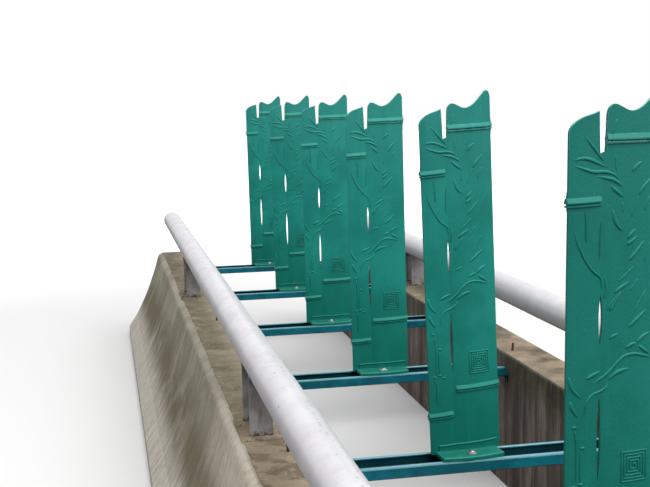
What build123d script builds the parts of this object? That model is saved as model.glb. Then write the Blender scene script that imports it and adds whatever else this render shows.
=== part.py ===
"""Median anti-glare screen, a section of six bays, in millimetres.

Moulded bamboo-shaped panels stand on cross beams that span the gap between two
concrete parapet walls, and a pipe rail runs along the top of each wall.
+Y runs along the road, +X from the near wall to the far wall and +Z is up. The origin is
at the middle of the section, on the ground.
"""
from build123d import *
import math
import os

# Square punched hole for every bolt neck
BOLT_HOLE = 11.0

# Section: bays along the road and the gap between the two walls
BAY_COUNT = 6
BAY_PITCH = 900.0
GAP_WIDTH = 922.0

# Parapet wall
WALL_HEIGHT = 500.0
WALL_TOP_WIDTH = 174.0
WALL_FOOT_WIDTH = 372.0
TOE_HEIGHT = 45.0
TOE_SLOPE_RISE = 75.0
TOE_SLOPE_RUN = 50.0
TOP_EDGE_RADIUS = 38.0
INNER_CHAMFER = 5.0
FACE_HOLLOW = 14.0
FORM_JOINT_WIDTH = 10.0
FORM_JOINT_DEPTH = 5.0

# Pipe rail on I-section posts
RAIL_DIAMETER = 101.6
RAIL_WALL = 4.5
RAIL_RISE = 204.0
RAIL_INSET = 84.0
POST_INSET = 97.0
POST_SPACING = 2230.0
POST_COUNT = 2
POST_FLANGE_WIDTH = 66.0
POST_DEPTH = 160.0
POST_FLANGE_THICKNESS = 9.0
POST_WEB_THICKNESS = 6.0
POST_ROOT_CHAMFER = 5.0
POST_EMBED = 80.0
SADDLE_GAP = 0.3

# Lipped channel that spans the gap, open side up
BEAM_WIDTH = 106.0
BEAM_HEIGHT = 32.0
BEAM_SHEET = 3.0
BEAM_LIP = 16.0
BEAM_CORNER_CHAMFER = 3.0
BEAM_DROP = 38.0
BEAM_END_GAP = 6.0
BEAM_TONGUE = 7.0
BEAM_NOSE_RADIUS = 12.0

# Angle cleat that carries each end of a beam
CLEAT_REACH = 50.0
CLEAT_HANG = 30.0
CLEAT_THICKNESS = 5.0
CLEAT_LENGTH = 60.0
CLEAT_BOLT_INSET = 20.0
WALL_BOLT_DROP = 18.0

# Clamp plate inside the channel, under its lips
CLAMP_LENGTH = 60.0
CLAMP_THICKNESS = 6.0
CLAMP_SIDE_GAP = 2.0

# Panel foot
FOOT_LENGTH = 178.0
FOOT_THICKNESS = 12.0
FOOT_FRONT = 50.0
FOOT_BACK = 43.0
FOOT_FRONT_BOW = 12.0
FOOT_EDGE_CHAMFER = 3.0
FOOT_BOLT_FORWARD = 22.0

# Panel blade: a narrow stalk on the left and a wide one on the right
BLADE_HEIGHT = 993.0
BLADE_THICKNESS = 6.0
BLADE_SET_BACK = 18.0
BLADE_START = 5.0
NARROW_STALK_WIDTH = 69.0
WIDE_STALK_WIDTH = 136.0
BLADE_OFF_CENTRE = 2.5
NARROW_STALK_CROWN = 4.0
WIDE_STALK_CROWN = 8.0
STALK_VALLEY = 2.5
BLADE_EDGE_SWEEP = 9.0

# Shape of the cut stalk tops, as drops below the peak
PEAK_INSET = 8.0
PEAK_OVERSHOOT = 7.0
PEAK_RADIUS = 9.0
PEAK_EDGE_DROP = 15.0
SHOULDER_INSET = 41.0
SHOULDER_DROP = 25.0
VALLEY_INSET = 80.0
VALLEY_DROP = 43.0
BUMP_INSET = 118.0
BUMP_DROP = 31.0
BUMP_EDGE_DROP = 50.0
NARROW_TIP_DROP = 43.0
NARROW_SHOULDER_INSET = 21.0
NARROW_SHOULDER_DROP = 57.0
NARROW_EDGE_DROP = 85.0

# Notch and slits between the stalks
NOTCH_WIDTH = 17.0
NOTCH_BOTTOM_DROP = 119.0
NOTCH_BOTTOM_WIDTH = 11.0
NOTCH_BOTTOM_SLANT = 4.0
SLIT_WIDTH = 8.0
UPPER_SLIT_DROP = 391.0
UPPER_SLIT_LENGTH = 101.0
LOWER_SLIT_RISE = 229.0
LOWER_SLIT_LENGTH = 172.0

# Two-part rings round the stalks, placed below the peak or above the beam
RING_BAND_HEIGHT = 11.0
RING_RAMP_HEIGHT = 8.5
RING_RAMP_DEPTH = 4.0
RING_GROOVE = 3.0
RING_LIP_HEIGHT = 3.5
RING_BAND_PROUD = 4.5
RING_LIP_PROUD = 3.5
RING_OVERHANG = 1.0
RING_SPLIT_INSET = 8.0
RING_SPLIT_GAP = 2.0
NARROW_RING_TILT = 2.5
WIDE_RING_TILT = 0.5
WIDE_RING_DROP = 104.0
WIDE_RING_RISE = 176.0
NARROW_RING_DROP = 220.0
NARROW_RING_RISE = 107.0

# Swelling of the blade's free edges at each ring
NODE_SWELL = 2.0
NODE_SWELL_HEIGHT = 44.0

# Thicker band at the base of the blade
BASE_BAND_HEIGHT = 31.0
BASE_BAND_PROUD = 3.5
BASE_BAND_LEFT_INSET = 21.0
BASE_BAND_RIGHT_INSET = 12.0

# How far each bay's beam stands off its even place along the road in mm, and how its
# panel is shifted along the beam in mm, turned about its bolt and leans in degrees
BEAM_SHIFTS = (0.0, -17.0, 33.0, 28.0, 0.0, -15.0)
PANEL_SHIFTS = (-9.0, -6.0, -7.0, -8.0, -7.0, -10.0)
PANEL_TURNS = (5.0, 5.0, 1.0, 2.0, -1.0, 1.0)
PANEL_LEANS = (0.0, 2.0, 0.9, 0.5, 0.8, 0.7)

# Sizes that follow from those above
SECTION_LENGTH = BAY_COUNT * BAY_PITCH
HALF_GAP = GAP_WIDTH / 2
RAIL_X = HALF_GAP + RAIL_INSET
POST_X = HALF_GAP + POST_INSET
RAIL_Z = WALL_HEIGHT + RAIL_RISE
LIP_TOP = WALL_HEIGHT - BEAM_DROP
BEAM_BOTTOM = LIP_TOP - BEAM_HEIGHT
BLADE_LEFT = BLADE_OFF_CENTRE - (NARROW_STALK_WIDTH + WIDE_STALK_WIDTH) / 2
BLADE_RIGHT = BLADE_LEFT + NARROW_STALK_WIDTH + WIDE_STALK_WIDTH
STALK_SPLIT = BLADE_LEFT + NARROW_STALK_WIDTH
RING_REACH = NODE_SWELL + RING_OVERHANG
CUT_MARGIN = 50.0


def bay_centres():
    """Y of the middle of each bay."""
    first = -SECTION_LENGTH / 2 + BAY_PITCH / 2
    return [first + bay * BAY_PITCH for bay in range(BAY_COUNT)]


def beam_places():
    """Y of each beam and its panel, a little off the middle of its bay."""
    return [centre + shift for centre, shift in zip(bay_centres(), BEAM_SHIFTS)]


def post_centres():
    """Y of each rail post, spread evenly about the middle of the section."""
    first = -(POST_COUNT - 1) * POST_SPACING / 2
    return [first + post * POST_SPACING for post in range(POST_COUNT)]


def along_road(face, length, start):
    """Extrude a face drawn in X and Z along +Y from start."""
    return Pos(0, start, 0) * extrude(Plane.XZ * face, -length)


def wall_profile():
    """Half section of the far wall: plumb inner face, flat top, hollow sloped outer face."""
    outer_top = HALF_GAP + WALL_TOP_WIDTH
    foot = HALF_GAP + WALL_FOOT_WIDTH
    slope_top = (foot - TOE_SLOPE_RUN, TOE_HEIGHT + TOE_SLOPE_RISE)
    middle_x = (outer_top + slope_top[0]) / 2 - FACE_HOLLOW
    middle_z = (WALL_HEIGHT + slope_top[1]) / 2
    with BuildSketch() as sketch:
        with BuildLine():
            Polyline((outer_top, WALL_HEIGHT), (HALF_GAP, WALL_HEIGHT), (HALF_GAP, 0), (foot, 0),
                     (foot, TOE_HEIGHT), slope_top)
            ThreePointArc(slope_top, (middle_x, middle_z), (outer_top, WALL_HEIGHT))
        make_face()
        top_edge = sketch.vertices().sort_by(Axis.Y)[-2:].sort_by(Axis.X)[-1]
        fillet(top_edge, TOP_EDGE_RADIUS)
        inner_edge = sketch.vertices().sort_by(Axis.Y)[-2:].sort_by(Axis.X)[0]
        chamfer(inner_edge, INNER_CHAMFER)
    return sketch.sketch


def bolt_hole(x, y, z):
    """Upright square cutter for a bolt neck, through any plate at that height."""
    return Pos(x, y, z) * Box(BOLT_HOLE, BOLT_HOLE, CUT_MARGIN)


def post_section():
    """I-section with its flanges facing along the road, drawn about its own middle."""
    flange = Rectangle(POST_FLANGE_WIDTH, POST_FLANGE_THICKNESS)
    offset = (POST_DEPTH - POST_FLANGE_THICKNESS) / 2
    section = Rectangle(POST_WEB_THICKNESS, POST_DEPTH) + Pos(0, offset) * flange + Pos(0, -offset) * flange
    half_web = POST_WEB_THICKNESS / 2
    root_y = POST_DEPTH / 2 - POST_FLANGE_THICKNESS
    roots = [v for v in section.vertices() if math.isclose(abs(v.X), half_web) and math.isclose(abs(v.Y), root_y)]
    return chamfer(roots, POST_ROOT_CHAMFER)


def rail_post(post_y):
    """Post on the far wall, set into the concrete below and coped to the pipe above."""
    height = POST_EMBED + RAIL_RISE
    body = extrude(post_section(), height)
    body = Pos(POST_X, post_y, WALL_HEIGHT - POST_EMBED) * body
    seat = Cylinder(RAIL_DIAMETER / 2 + SADDLE_GAP, POST_DEPTH + 2 * CUT_MARGIN, rotation=(90, 0, 0))
    return body - Pos(RAIL_X, post_y, RAIL_Z) * seat


def wall():
    """Far wall with form joints on its inner face and a socket for each post."""
    body = along_road(wall_profile(), SECTION_LENGTH, -SECTION_LENGTH / 2)
    joint = Polygon((0, FORM_JOINT_WIDTH / 2), (FORM_JOINT_DEPTH, 0), (0, -FORM_JOINT_WIDTH / 2), align=None)
    for bay_y in bay_centres():
        body -= Pos(HALF_GAP, bay_y, 0) * extrude(joint, WALL_HEIGHT)
    for post_y in post_centres():
        socket = extrude(post_section(), POST_EMBED)
        body -= Pos(POST_X, post_y, WALL_HEIGHT - POST_EMBED) * socket
    return body


def rail():
    """Far pipe rail over the whole section."""
    section = Circle(RAIL_DIAMETER / 2) - Circle(RAIL_DIAMETER / 2 - RAIL_WALL)
    return along_road(Pos(RAIL_X, RAIL_Z) * section, SECTION_LENGTH, -SECTION_LENGTH / 2)


def beam_section():
    """Lipped channel, open side up, with its lip tops at height zero."""
    inner_width = BEAM_WIDTH - 2 * BEAM_SHEET
    inner_height = BEAM_HEIGHT - 2 * BEAM_SHEET
    mouth = BEAM_WIDTH - 2 * BEAM_LIP
    low = (Align.CENTER, Align.MIN)
    outside = Pos(0, -BEAM_HEIGHT) * Rectangle(BEAM_WIDTH, BEAM_HEIGHT, align=low)
    outside = chamfer(outside.vertices(), BEAM_CORNER_CHAMFER)
    inside = Pos(0, -BEAM_HEIGHT + BEAM_SHEET) * Rectangle(inner_width, inner_height, align=low)
    opening = Pos(0, -BEAM_SHEET - 1) * Rectangle(mouth, BEAM_SHEET + 1 + CUT_MARGIN, align=low)
    return outside - inside - opening


def beam_side_outline():
    """Side view of a beam: rounded noses on its flanges and a bare web tongue at each end."""
    half = HALF_GAP - BEAM_END_GAP
    nose = half - BEAM_TONGUE
    web_top = -BEAM_HEIGHT + BEAM_SHEET
    with BuildSketch() as sketch:
        with BuildLine():
            Polyline((-nose + BEAM_NOSE_RADIUS, 0), (nose - BEAM_NOSE_RADIUS, 0))
            RadiusArc((nose - BEAM_NOSE_RADIUS, 0), (nose, -BEAM_NOSE_RADIUS), BEAM_NOSE_RADIUS)
            Polyline((nose, -BEAM_NOSE_RADIUS), (nose, web_top), (half, web_top), (half, -BEAM_HEIGHT),
                     (-half, -BEAM_HEIGHT), (-half, web_top), (-nose, web_top), (-nose, -BEAM_NOSE_RADIUS))
            RadiusArc((-nose, -BEAM_NOSE_RADIUS), (-nose + BEAM_NOSE_RADIUS, 0), BEAM_NOSE_RADIUS)
        make_face()
    return sketch.sketch


def beam_bolt_x():
    """X of the bolt that holds a beam on its cleat."""
    return HALF_GAP - CLEAT_BOLT_INSET


def cross_beam(beam_y):
    """Channel beam across the gap."""
    length = 2 * HALF_GAP
    body = Pos(-length / 2, 0, 0) * extrude(Plane.YZ * beam_section(), length)
    body &= along_road(beam_side_outline(), BEAM_WIDTH, -BEAM_WIDTH / 2)
    for side in (-1, 1):
        body -= bolt_hole(side * beam_bolt_x(), 0, -BEAM_HEIGHT)
    return Pos(0, beam_y, LIP_TOP) * body


def beam_cleat(beam_y):
    """Angle on the far wall, its flat leg under the beam's web."""
    corner = (-CLEAT_THICKNESS, -CLEAT_THICKNESS)
    section = Polygon((0, 0), (-CLEAT_REACH, 0), (-CLEAT_REACH, -CLEAT_THICKNESS), corner,
                      (-CLEAT_THICKNESS, -CLEAT_HANG), (0, -CLEAT_HANG), align=None)
    body = along_road(section, CLEAT_LENGTH, -CLEAT_LENGTH / 2)
    body -= bolt_hole(-CLEAT_BOLT_INSET, 0, 0)
    body -= Pos(0, 0, -WALL_BOLT_DROP) * Box(3 * CLEAT_THICKNESS, BOLT_HOLE, BOLT_HOLE)
    return Pos(HALF_GAP, beam_y, BEAM_BOTTOM) * body


def clamp_plate(bay):
    """Plate under the channel lips that the foot bolt of one bay pulls up."""
    width = BEAM_WIDTH - 2 * BEAM_SHEET - 2 * CLAMP_SIDE_GAP
    high = (Align.CENTER, Align.CENTER, Align.MAX)
    body = Box(CLAMP_LENGTH, width, CLAMP_THICKNESS, align=high)
    body -= bolt_hole(0, -FOOT_BOLT_FORWARD, 0)
    return Pos(PANEL_SHIFTS[bay], beam_places()[bay], LIP_TOP - BEAM_SHEET) * body


def stalk_arc(left, right, left_y, right_y, crown):
    """Front line of one stalk seen from above, bulging towards -Y."""
    middle = ((left + right) / 2, (left_y + right_y) / 2 - crown)
    return ThreePointArc((left, left_y), middle, (right, right_y))


def stalk_strip(left, right, left_y, right_y, crown, front, back):
    """Strip that follows a stalk's front line, from front ahead of it to back behind it."""
    with BuildSketch() as sketch:
        with BuildLine():
            ahead = stalk_arc(left, right, left_y - front, right_y - front, crown)
            behind = stalk_arc(left, right, left_y + back, right_y + back, crown)
            Line(ahead @ 0, behind @ 0)
            Line(ahead @ 1, behind @ 1)
        make_face()
    return sketch.sketch


def narrow_strip(front, back):
    """Strip along the narrow stalk, reaching past its rings."""
    edge_y = BLADE_SET_BACK + BLADE_EDGE_SWEEP
    valley_y = BLADE_SET_BACK + STALK_VALLEY
    return stalk_strip(BLADE_LEFT - 2 * RING_REACH, STALK_SPLIT, edge_y, valley_y, NARROW_STALK_CROWN, front, back)


def wide_strip(front, back):
    """Strip along the wide stalk, reaching past its rings."""
    edge_y = BLADE_SET_BACK + BLADE_EDGE_SWEEP
    valley_y = BLADE_SET_BACK + STALK_VALLEY
    return stalk_strip(STALK_SPLIT, BLADE_RIGHT + 2 * RING_REACH, valley_y, edge_y, WIDE_STALK_CROWN, front, back)


def slab(left, right):
    """Upright box between two places along the blade, to keep what lies in it."""
    return Pos((left + right) / 2, 0, BLADE_HEIGHT / 2) * Box(right - left, 4 * BEAM_WIDTH, 2 * BLADE_HEIGHT)


def wide_ring_lows():
    """Heights of the wide stalk's ring bottoms."""
    return (BLADE_HEIGHT - WIDE_RING_DROP, WIDE_RING_RISE)


def narrow_ring_lows():
    """Heights of the narrow stalk's ring bottoms."""
    return (BLADE_HEIGHT - NARROW_RING_DROP, NARROW_RING_RISE)


def node_swell(edge_x, outward, ring_low):
    """Segment of a circle that swells one free edge beside a ring, in the front view."""
    middle = ring_low + (RING_LIP_HEIGHT + RING_GROOVE + RING_BAND_HEIGHT) / 2
    low = (edge_x, middle - NODE_SWELL_HEIGHT / 2)
    high = (edge_x, middle + NODE_SWELL_HEIGHT / 2)
    with BuildSketch() as sketch:
        with BuildLine():
            ThreePointArc(low, (edge_x + outward * NODE_SWELL, middle), high)
            Line(high, low)
        make_face()
    return sketch.sketch


def blade_outline():
    """Front view of the blade: two bamboo stalks with slanting cut tops and a notch between them."""
    top = BLADE_HEIGHT
    notch_left = STALK_SPLIT - NOTCH_WIDTH / 2
    notch_right = STALK_SPLIT + NOTCH_WIDTH / 2
    floor_left = STALK_SPLIT - NOTCH_BOTTOM_WIDTH / 2
    floor_right = STALK_SPLIT + NOTCH_BOTTOM_WIDTH / 2
    floor_z = top - NOTCH_BOTTOM_DROP
    narrow_edge = (BLADE_LEFT, top - NARROW_EDGE_DROP)
    narrow_shoulder = (BLADE_LEFT + NARROW_SHOULDER_INSET, top - NARROW_SHOULDER_DROP)
    narrow_tip = (notch_left, top - NARROW_TIP_DROP)
    bump_edge = (notch_right, top - BUMP_EDGE_DROP)
    bump = (BLADE_RIGHT - BUMP_INSET, top - BUMP_DROP)
    valley = (BLADE_RIGHT - VALLEY_INSET, top - VALLEY_DROP)
    shoulder = (BLADE_RIGHT - SHOULDER_INSET, top - SHOULDER_DROP)
    peak = (BLADE_RIGHT - PEAK_INSET, top + PEAK_OVERSHOOT)
    right_edge = (BLADE_RIGHT, top - PEAK_EDGE_DROP)
    with BuildSketch() as sketch:
        with BuildLine():
            Polyline(right_edge, (BLADE_RIGHT, BLADE_START), (BLADE_LEFT, BLADE_START), narrow_edge)
            Spline(narrow_edge, narrow_shoulder, narrow_tip, tangents=((0, 1), (1, 0.5)), tangent_scalars=(1, 1))
            Line(narrow_tip, (floor_left, floor_z - NOTCH_BOTTOM_SLANT))
            Polyline((floor_left, floor_z - NOTCH_BOTTOM_SLANT), (floor_right, floor_z), bump_edge)
            Spline(bump_edge, bump, valley, shoulder, tangents=((0, 1), (1, 1)), tangent_scalars=(1, 0.7))
            Polyline(shoulder, peak, right_edge)
        make_face()
        fillet(sketch.vertices().sort_by(Axis.Y)[-1], PEAK_RADIUS)
    outline = sketch.sketch
    for low in wide_ring_lows():
        outline += node_swell(BLADE_RIGHT, 1, low)
    for low in narrow_ring_lows():
        outline += node_swell(BLADE_LEFT, -1, low)
    return outline


def slit_outline(low, high):
    """Lens-shaped slit between the stalks."""
    half = SLIT_WIDTH / 2
    middle = (low + high) / 2
    with BuildSketch() as sketch:
        with BuildLine():
            ThreePointArc((STALK_SPLIT, low), (STALK_SPLIT - half, middle), (STALK_SPLIT, high))
            ThreePointArc((STALK_SPLIT, high), (STALK_SPLIT + half, middle), (STALK_SPLIT, low))
        make_face()
    return sketch.sketch


def ring(strip, low, tilt, left, right):
    """Two-part ring round a stalk: a thin lip, a groove and a band with a ramp on top."""
    lip_strip = strip(RING_LIP_PROUD, BLADE_THICKNESS + RING_LIP_PROUD)
    lip = extrude(lip_strip, RING_LIP_HEIGHT) & slab(left, right)
    band_strip = strip(RING_BAND_PROUD, BLADE_THICKNESS + RING_BAND_PROUD)
    band = extrude(band_strip, RING_BAND_HEIGHT) & slab(left, right)
    top = band.faces().sort_by(Axis.Z)[-1]
    band = chamfer(top.edges().filter_by(GeomType.CIRCLE), RING_RAMP_DEPTH, RING_RAMP_HEIGHT, reference=top)
    band = Pos(0, 0, RING_LIP_HEIGHT + RING_GROOVE) * band
    place = Location((STALK_SPLIT, 0, low)) * Rotation(0, -tilt, 0) * Location((-STALK_SPLIT, 0, 0))
    return place * lip + place * band


def base_band():
    """Thicker band along the bottom of the blade, short of both edges."""
    band = narrow_strip(BASE_BAND_PROUD, BLADE_THICKNESS / 2) + wide_strip(BASE_BAND_PROUD, BLADE_THICKNESS / 2)
    body = Pos(0, 0, BLADE_START) * extrude(band, BASE_BAND_HEIGHT - BLADE_START)
    return body & slab(BLADE_LEFT + BASE_BAND_LEFT_INSET, BLADE_RIGHT - BASE_BAND_RIGHT_INSET)


def blade():
    """Thin moulded sheet with its rings, base band, slits and cut tops."""
    sheet = extrude(narrow_strip(0, BLADE_THICKNESS) + wide_strip(0, BLADE_THICKNESS), BLADE_HEIGHT)
    sheet &= along_road(blade_outline(), BEAM_WIDTH + 2 * CUT_MARGIN, -CUT_MARGIN)
    upper_slit = BLADE_HEIGHT - UPPER_SLIT_DROP - UPPER_SLIT_LENGTH
    for low, length in ((upper_slit, UPPER_SLIT_LENGTH), (LOWER_SLIT_RISE, LOWER_SLIT_LENGTH)):
        sheet -= along_road(slit_outline(low, low + length), BEAM_WIDTH + 2 * CUT_MARGIN, -CUT_MARGIN)
    for low in wide_ring_lows():
        right = BLADE_RIGHT + RING_REACH
        sheet += ring(wide_strip, low, WIDE_RING_TILT, STALK_SPLIT + RING_SPLIT_INSET, right)
    for low in narrow_ring_lows():
        left = BLADE_LEFT - RING_REACH
        sheet += ring(narrow_strip, low, NARROW_RING_TILT, left, STALK_SPLIT - RING_SPLIT_GAP)
    return sheet + base_band()


def foot():
    """Foot plate over both channel lips, with a bowed front edge and one bolt hole."""
    half = FOOT_LENGTH / 2
    corner_y = -FOOT_FRONT + FOOT_FRONT_BOW
    with BuildSketch() as sketch:
        with BuildLine():
            Polyline((half, corner_y), (half, FOOT_BACK), (-half, FOOT_BACK), (-half, corner_y))
            ThreePointArc((-half, corner_y), (0, -FOOT_FRONT), (half, corner_y))
        make_face()
    plate = extrude(sketch.sketch, FOOT_THICKNESS)
    plate = chamfer(plate.faces().sort_by(Axis.Z)[-1].edges(), FOOT_EDGE_CHAMFER)
    return plate - bolt_hole(0, -FOOT_BOLT_FORWARD, 0)


def screen_panel(bay):
    """Panel of one bay, shifted along its beam, turned about its bolt and leaning as mounted."""
    leaning = Rotation(0, -PANEL_LEANS[bay], 0) * blade()
    body = leaning + foot()
    bolt = Location((0, -FOOT_BOLT_FORWARD, 0))
    turned = bolt * Rotation(0, 0, PANEL_TURNS[bay]) * bolt.inverse() * body
    return Pos(PANEL_SHIFTS[bay], beam_places()[bay], LIP_TOP) * turned


def near_side(body):
    """Mirror a far-side piece to the near side of the gap."""
    return mirror(body, about=Plane.YZ)


def build_nodes():
    """Every piece by its node name."""
    nodes = {"far_wall": wall(), "far_rail": rail()}
    for number, post_y in enumerate(post_centres(), start=1):
        nodes[f"far_rail_post_{number}"] = rail_post(post_y)
    for number, beam_y in enumerate(beam_places(), start=1):
        nodes[f"far_cleat_{number}"] = beam_cleat(beam_y)
    for name in list(nodes):
        nodes[name.replace("far_", "near_")] = near_side(nodes[name])
    for number, beam_y in enumerate(beam_places(), start=1):
        nodes[f"cross_beam_{number}"] = cross_beam(beam_y)
        nodes[f"clamp_plate_{number}"] = clamp_plate(number - 1)
        nodes[f"screen_panel_{number}"] = screen_panel(number - 1)
    return nodes


os.makedirs("parts", exist_ok=True)
for node_name, piece in build_nodes().items():
    export_step(piece, f"parts/{node_name}.step")
    print(node_name, len(piece.solids()), round(piece.volume))
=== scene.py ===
"""Looks of the six-bay median anti-glare screen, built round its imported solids.

Sizes are in millimetres unless a name says otherwise. The finishes and the finished pieces are in
metres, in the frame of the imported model: +Y runs along the road, +X from the near wall to the far
wall, and +Z is up from the ground at zero.
"""

import logging
import math
import random
from collections.abc import Sequence
from dataclasses import dataclass
from enum import Enum
from typing import Any

import bmesh
import bpy
from mathutils import Matrix, Vector, noise


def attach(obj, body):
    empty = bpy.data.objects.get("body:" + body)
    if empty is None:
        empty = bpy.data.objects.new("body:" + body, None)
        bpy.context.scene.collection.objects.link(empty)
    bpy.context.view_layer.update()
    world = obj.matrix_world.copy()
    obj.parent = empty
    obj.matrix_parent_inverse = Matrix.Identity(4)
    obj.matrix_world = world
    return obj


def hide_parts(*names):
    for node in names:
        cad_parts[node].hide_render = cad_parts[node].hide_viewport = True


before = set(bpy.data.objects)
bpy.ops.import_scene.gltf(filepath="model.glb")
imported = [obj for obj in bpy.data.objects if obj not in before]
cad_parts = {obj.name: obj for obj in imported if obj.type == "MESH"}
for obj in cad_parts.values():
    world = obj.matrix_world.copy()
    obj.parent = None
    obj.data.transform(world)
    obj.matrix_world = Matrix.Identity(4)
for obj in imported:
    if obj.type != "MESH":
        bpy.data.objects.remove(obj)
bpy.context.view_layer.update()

LOG = logging.getLogger("screen")

MM = 0.001
BODY = "root"
Colour = tuple[float, float, float, float]
Point = tuple[float, float]
Range = tuple[float, float]
Mesh = bmesh.types.BMesh
UP = Vector((0.0, 0.0, 1.0))
THROUGH = Vector((0.0, 1.0, 0.0))
UNMOVED = Matrix.Identity(4)
ORIGIN = (0.0, 0.0, 0.0)
WHITE: Colour = (1.0, 1.0, 1.0, 1.0)


class Slot(Enum):
    """The record's material slots."""

    CONCRETE = "concrete"
    RAIL = "rail_paint"
    POST = "post_paint"
    BEAM = "beam_paint"
    ZINC = "galvanised"
    PANEL = "panel_green"


class Side(Enum):
    """The two sides of the gap, as the sign of X."""

    NEAR = -1
    FAR = 1

    @property
    def word(self) -> str:
        """The side's word in the names of nodes and pieces."""
        return self.name.lower()


class StrokeKind(Enum):
    """What one raised line of the bamboo relief stands for."""

    LEAF = "leaf"
    TWIG = "twig"


def srgb(*levels: int) -> Colour:
    """Linear colour of a screen colour.

    Args:
        levels: Red, green and blue from 0 to 255.

    Returns:
        The colour with alpha 1.
    """
    channels = []
    for level in levels:
        share = level / 255
        channels.append(share / 12.92 if share <= 0.04045 else ((share + 0.055) / 1.055) ** 2.4)
    return (*channels, 1.0)


# Layout of the section


@dataclass(frozen=True)
class Section:
    """Places and sizes that several pieces share, as in the part's source."""

    bays: int = 6
    pitch: float = 900.0
    half_gap: float = 461.0
    wall_height: float = 500.0
    rail_x: float = 545.0
    rail_z: float = 704.0
    rail_radius: float = 50.8
    rail_wall: float = 4.5
    post_x: float = 558.0
    post_spacing: float = 2230.0
    posts: int = 2
    lip_top: float = 462.0
    beam_height: float = 32.0
    beam_sheet: float = 3.0
    beam_shifts: tuple[float, ...] = (0.0, -17.0, 33.0, 28.0, 0.0, -15.0)

    @property
    def length(self) -> float:
        """Length of the section along the road."""
        return self.bays * self.pitch

    @property
    def beam_bottom(self) -> float:
        """Height of the underside of the beams."""
        return self.lip_top - self.beam_height

    def beam_y(self, bay: int) -> float:
        """Y of the beam and the panel of a bay, counted from zero."""
        return (bay + 0.5 - self.bays / 2) * self.pitch + self.beam_shifts[bay]

    def post_y(self, post: int) -> float:
        """Y of the middle of a rail post, counted from zero."""
        return (post - (self.posts - 1) / 2) * self.post_spacing


SECTION = Section()


# Nodes of the finishes


class Wiring:
    """Short ways to add and join the nodes of one node tree."""

    def __init__(self, tree: bpy.types.NodeTree) -> None:
        """Work on one node tree."""
        self.tree = tree

    def feed(self, node: bpy.types.Node, inputs: dict[Any, Any]) -> None:
        """Set or link inputs of a node.

        Args:
            node: The node.
            inputs: Value or socket for each input, by its name or number.
        """
        for name, value in inputs.items():
            if isinstance(value, bpy.types.NodeSocket):
                self.tree.links.new(value, node.inputs[name])
            else:
                node.inputs[name].default_value = value

    def add(self, kind: str, inputs: dict[Any, Any] | None = None, **settings: Any) -> Any:
        """Add a shader node.

        Args:
            kind: Name of its type, after the part that all shader nodes share.
            inputs: Value or socket for each input, by its name or number.
            settings: Properties of the node.

        Returns:
            The outputs of the node.
        """
        node = self.tree.nodes.new("ShaderNode" + kind)
        for name, value in settings.items():
            setattr(node, name, value)
        self.feed(node, inputs or {})
        return node.outputs

    def axes(self, vector: Any) -> Any:
        """X, Y and Z of a vector."""
        return self.add("SeparateXYZ", {0: vector})

    def normal(self) -> Any:
        """Normal of the surface before any relief."""
        return self.add("NewGeometry")["Normal"]

    def stretch(self, vector: Any, factors: Any) -> Any:
        """Coordinates multiplied by a factor for each axis."""
        return self.add("VectorMath", {0: vector, 1: factors}, operation="MULTIPLY")[0]

    def noise(self, vector: Any, scale: Any, detail: Any = 3.0, roughness: float = 0.5) -> Any:
        """Value of a noise texture."""
        inputs = {"Vector": vector, "Scale": scale, "Detail": detail, "Roughness": roughness}
        return self.add("TexNoise", inputs)[0]

    def span(self, value: Any, low: Any, high: Any, start: float = 0.0, end: float = 1.0) -> Any:
        """Value taken smoothly from start to end as it goes from low to high."""
        inputs = {"Value": value, "From Min": low, "From Max": high, "To Min": start, "To Max": end}
        return self.add("MapRange", inputs, interpolation_type="SMOOTHSTEP")[0]

    def math(self, operation: str, first: Any, second: Any = 0.0) -> Any:
        """Result of a sum on two values, kept from zero to one."""
        return self.add("Math", {0: first, 1: second}, operation=operation, use_clamp=True)[0]

    def unsigned(self, value: Any) -> Any:
        """Value without its sign."""
        return self.math("ABSOLUTE", value)

    def rest(self, mask: Any) -> Any:
        """What a mask leaves free."""
        return self.math("SUBTRACT", 1.0, mask)

    def shifted(self, value: Any, by: Any, share: float) -> Any:
        """Value with a share of another one added."""
        return self.add("Math", {0: by, 1: share, 2: value}, operation="MULTIPLY_ADD")[0]

    def times(self, product: Any, *factors: Any) -> Any:
        """Product of two or more masks.

        Args:
            product: The first mask.
            factors: The others.

        Returns:
            Socket of the product.
        """
        for factor in factors:
            product = self.math("MULTIPLY", product, factor)
        return product


class Effect:
    """Wear that the finishes share, as one shader node group that gives a mask."""

    inputs: dict[str, Any] = {}

    @staticmethod
    def fill(wiring: Wiring, given: Any) -> Any:
        """Add the effect's nodes.

        Args:
            wiring: Wiring of the node group.
            given: The group's inputs, by their names.

        Returns:
            Socket of the mask.
        """
        raise NotImplementedError

    @classmethod
    def group(cls) -> bpy.types.NodeTree:
        """The effect's node group, built when it is first asked for."""
        tree = bpy.data.node_groups.get(cls.__name__)
        if tree:
            return tree
        tree = bpy.data.node_groups.new(cls.__name__, "ShaderNodeTree")
        for label, default in cls.inputs.items():
            kind = "NodeSocketVector" if isinstance(default, tuple) else "NodeSocketFloat"
            tree.interface.new_socket(label, in_out="INPUT", socket_type=kind).default_value = default
        tree.interface.new_socket("Mask", in_out="OUTPUT", socket_type="NodeSocketFloat")
        source = tree.nodes.new("NodeGroupInput")
        sink = tree.nodes.new("NodeGroupOutput")
        tree.links.new(cls.fill(Wiring(tree), source.outputs), sink.inputs[0])
        return tree


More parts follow.
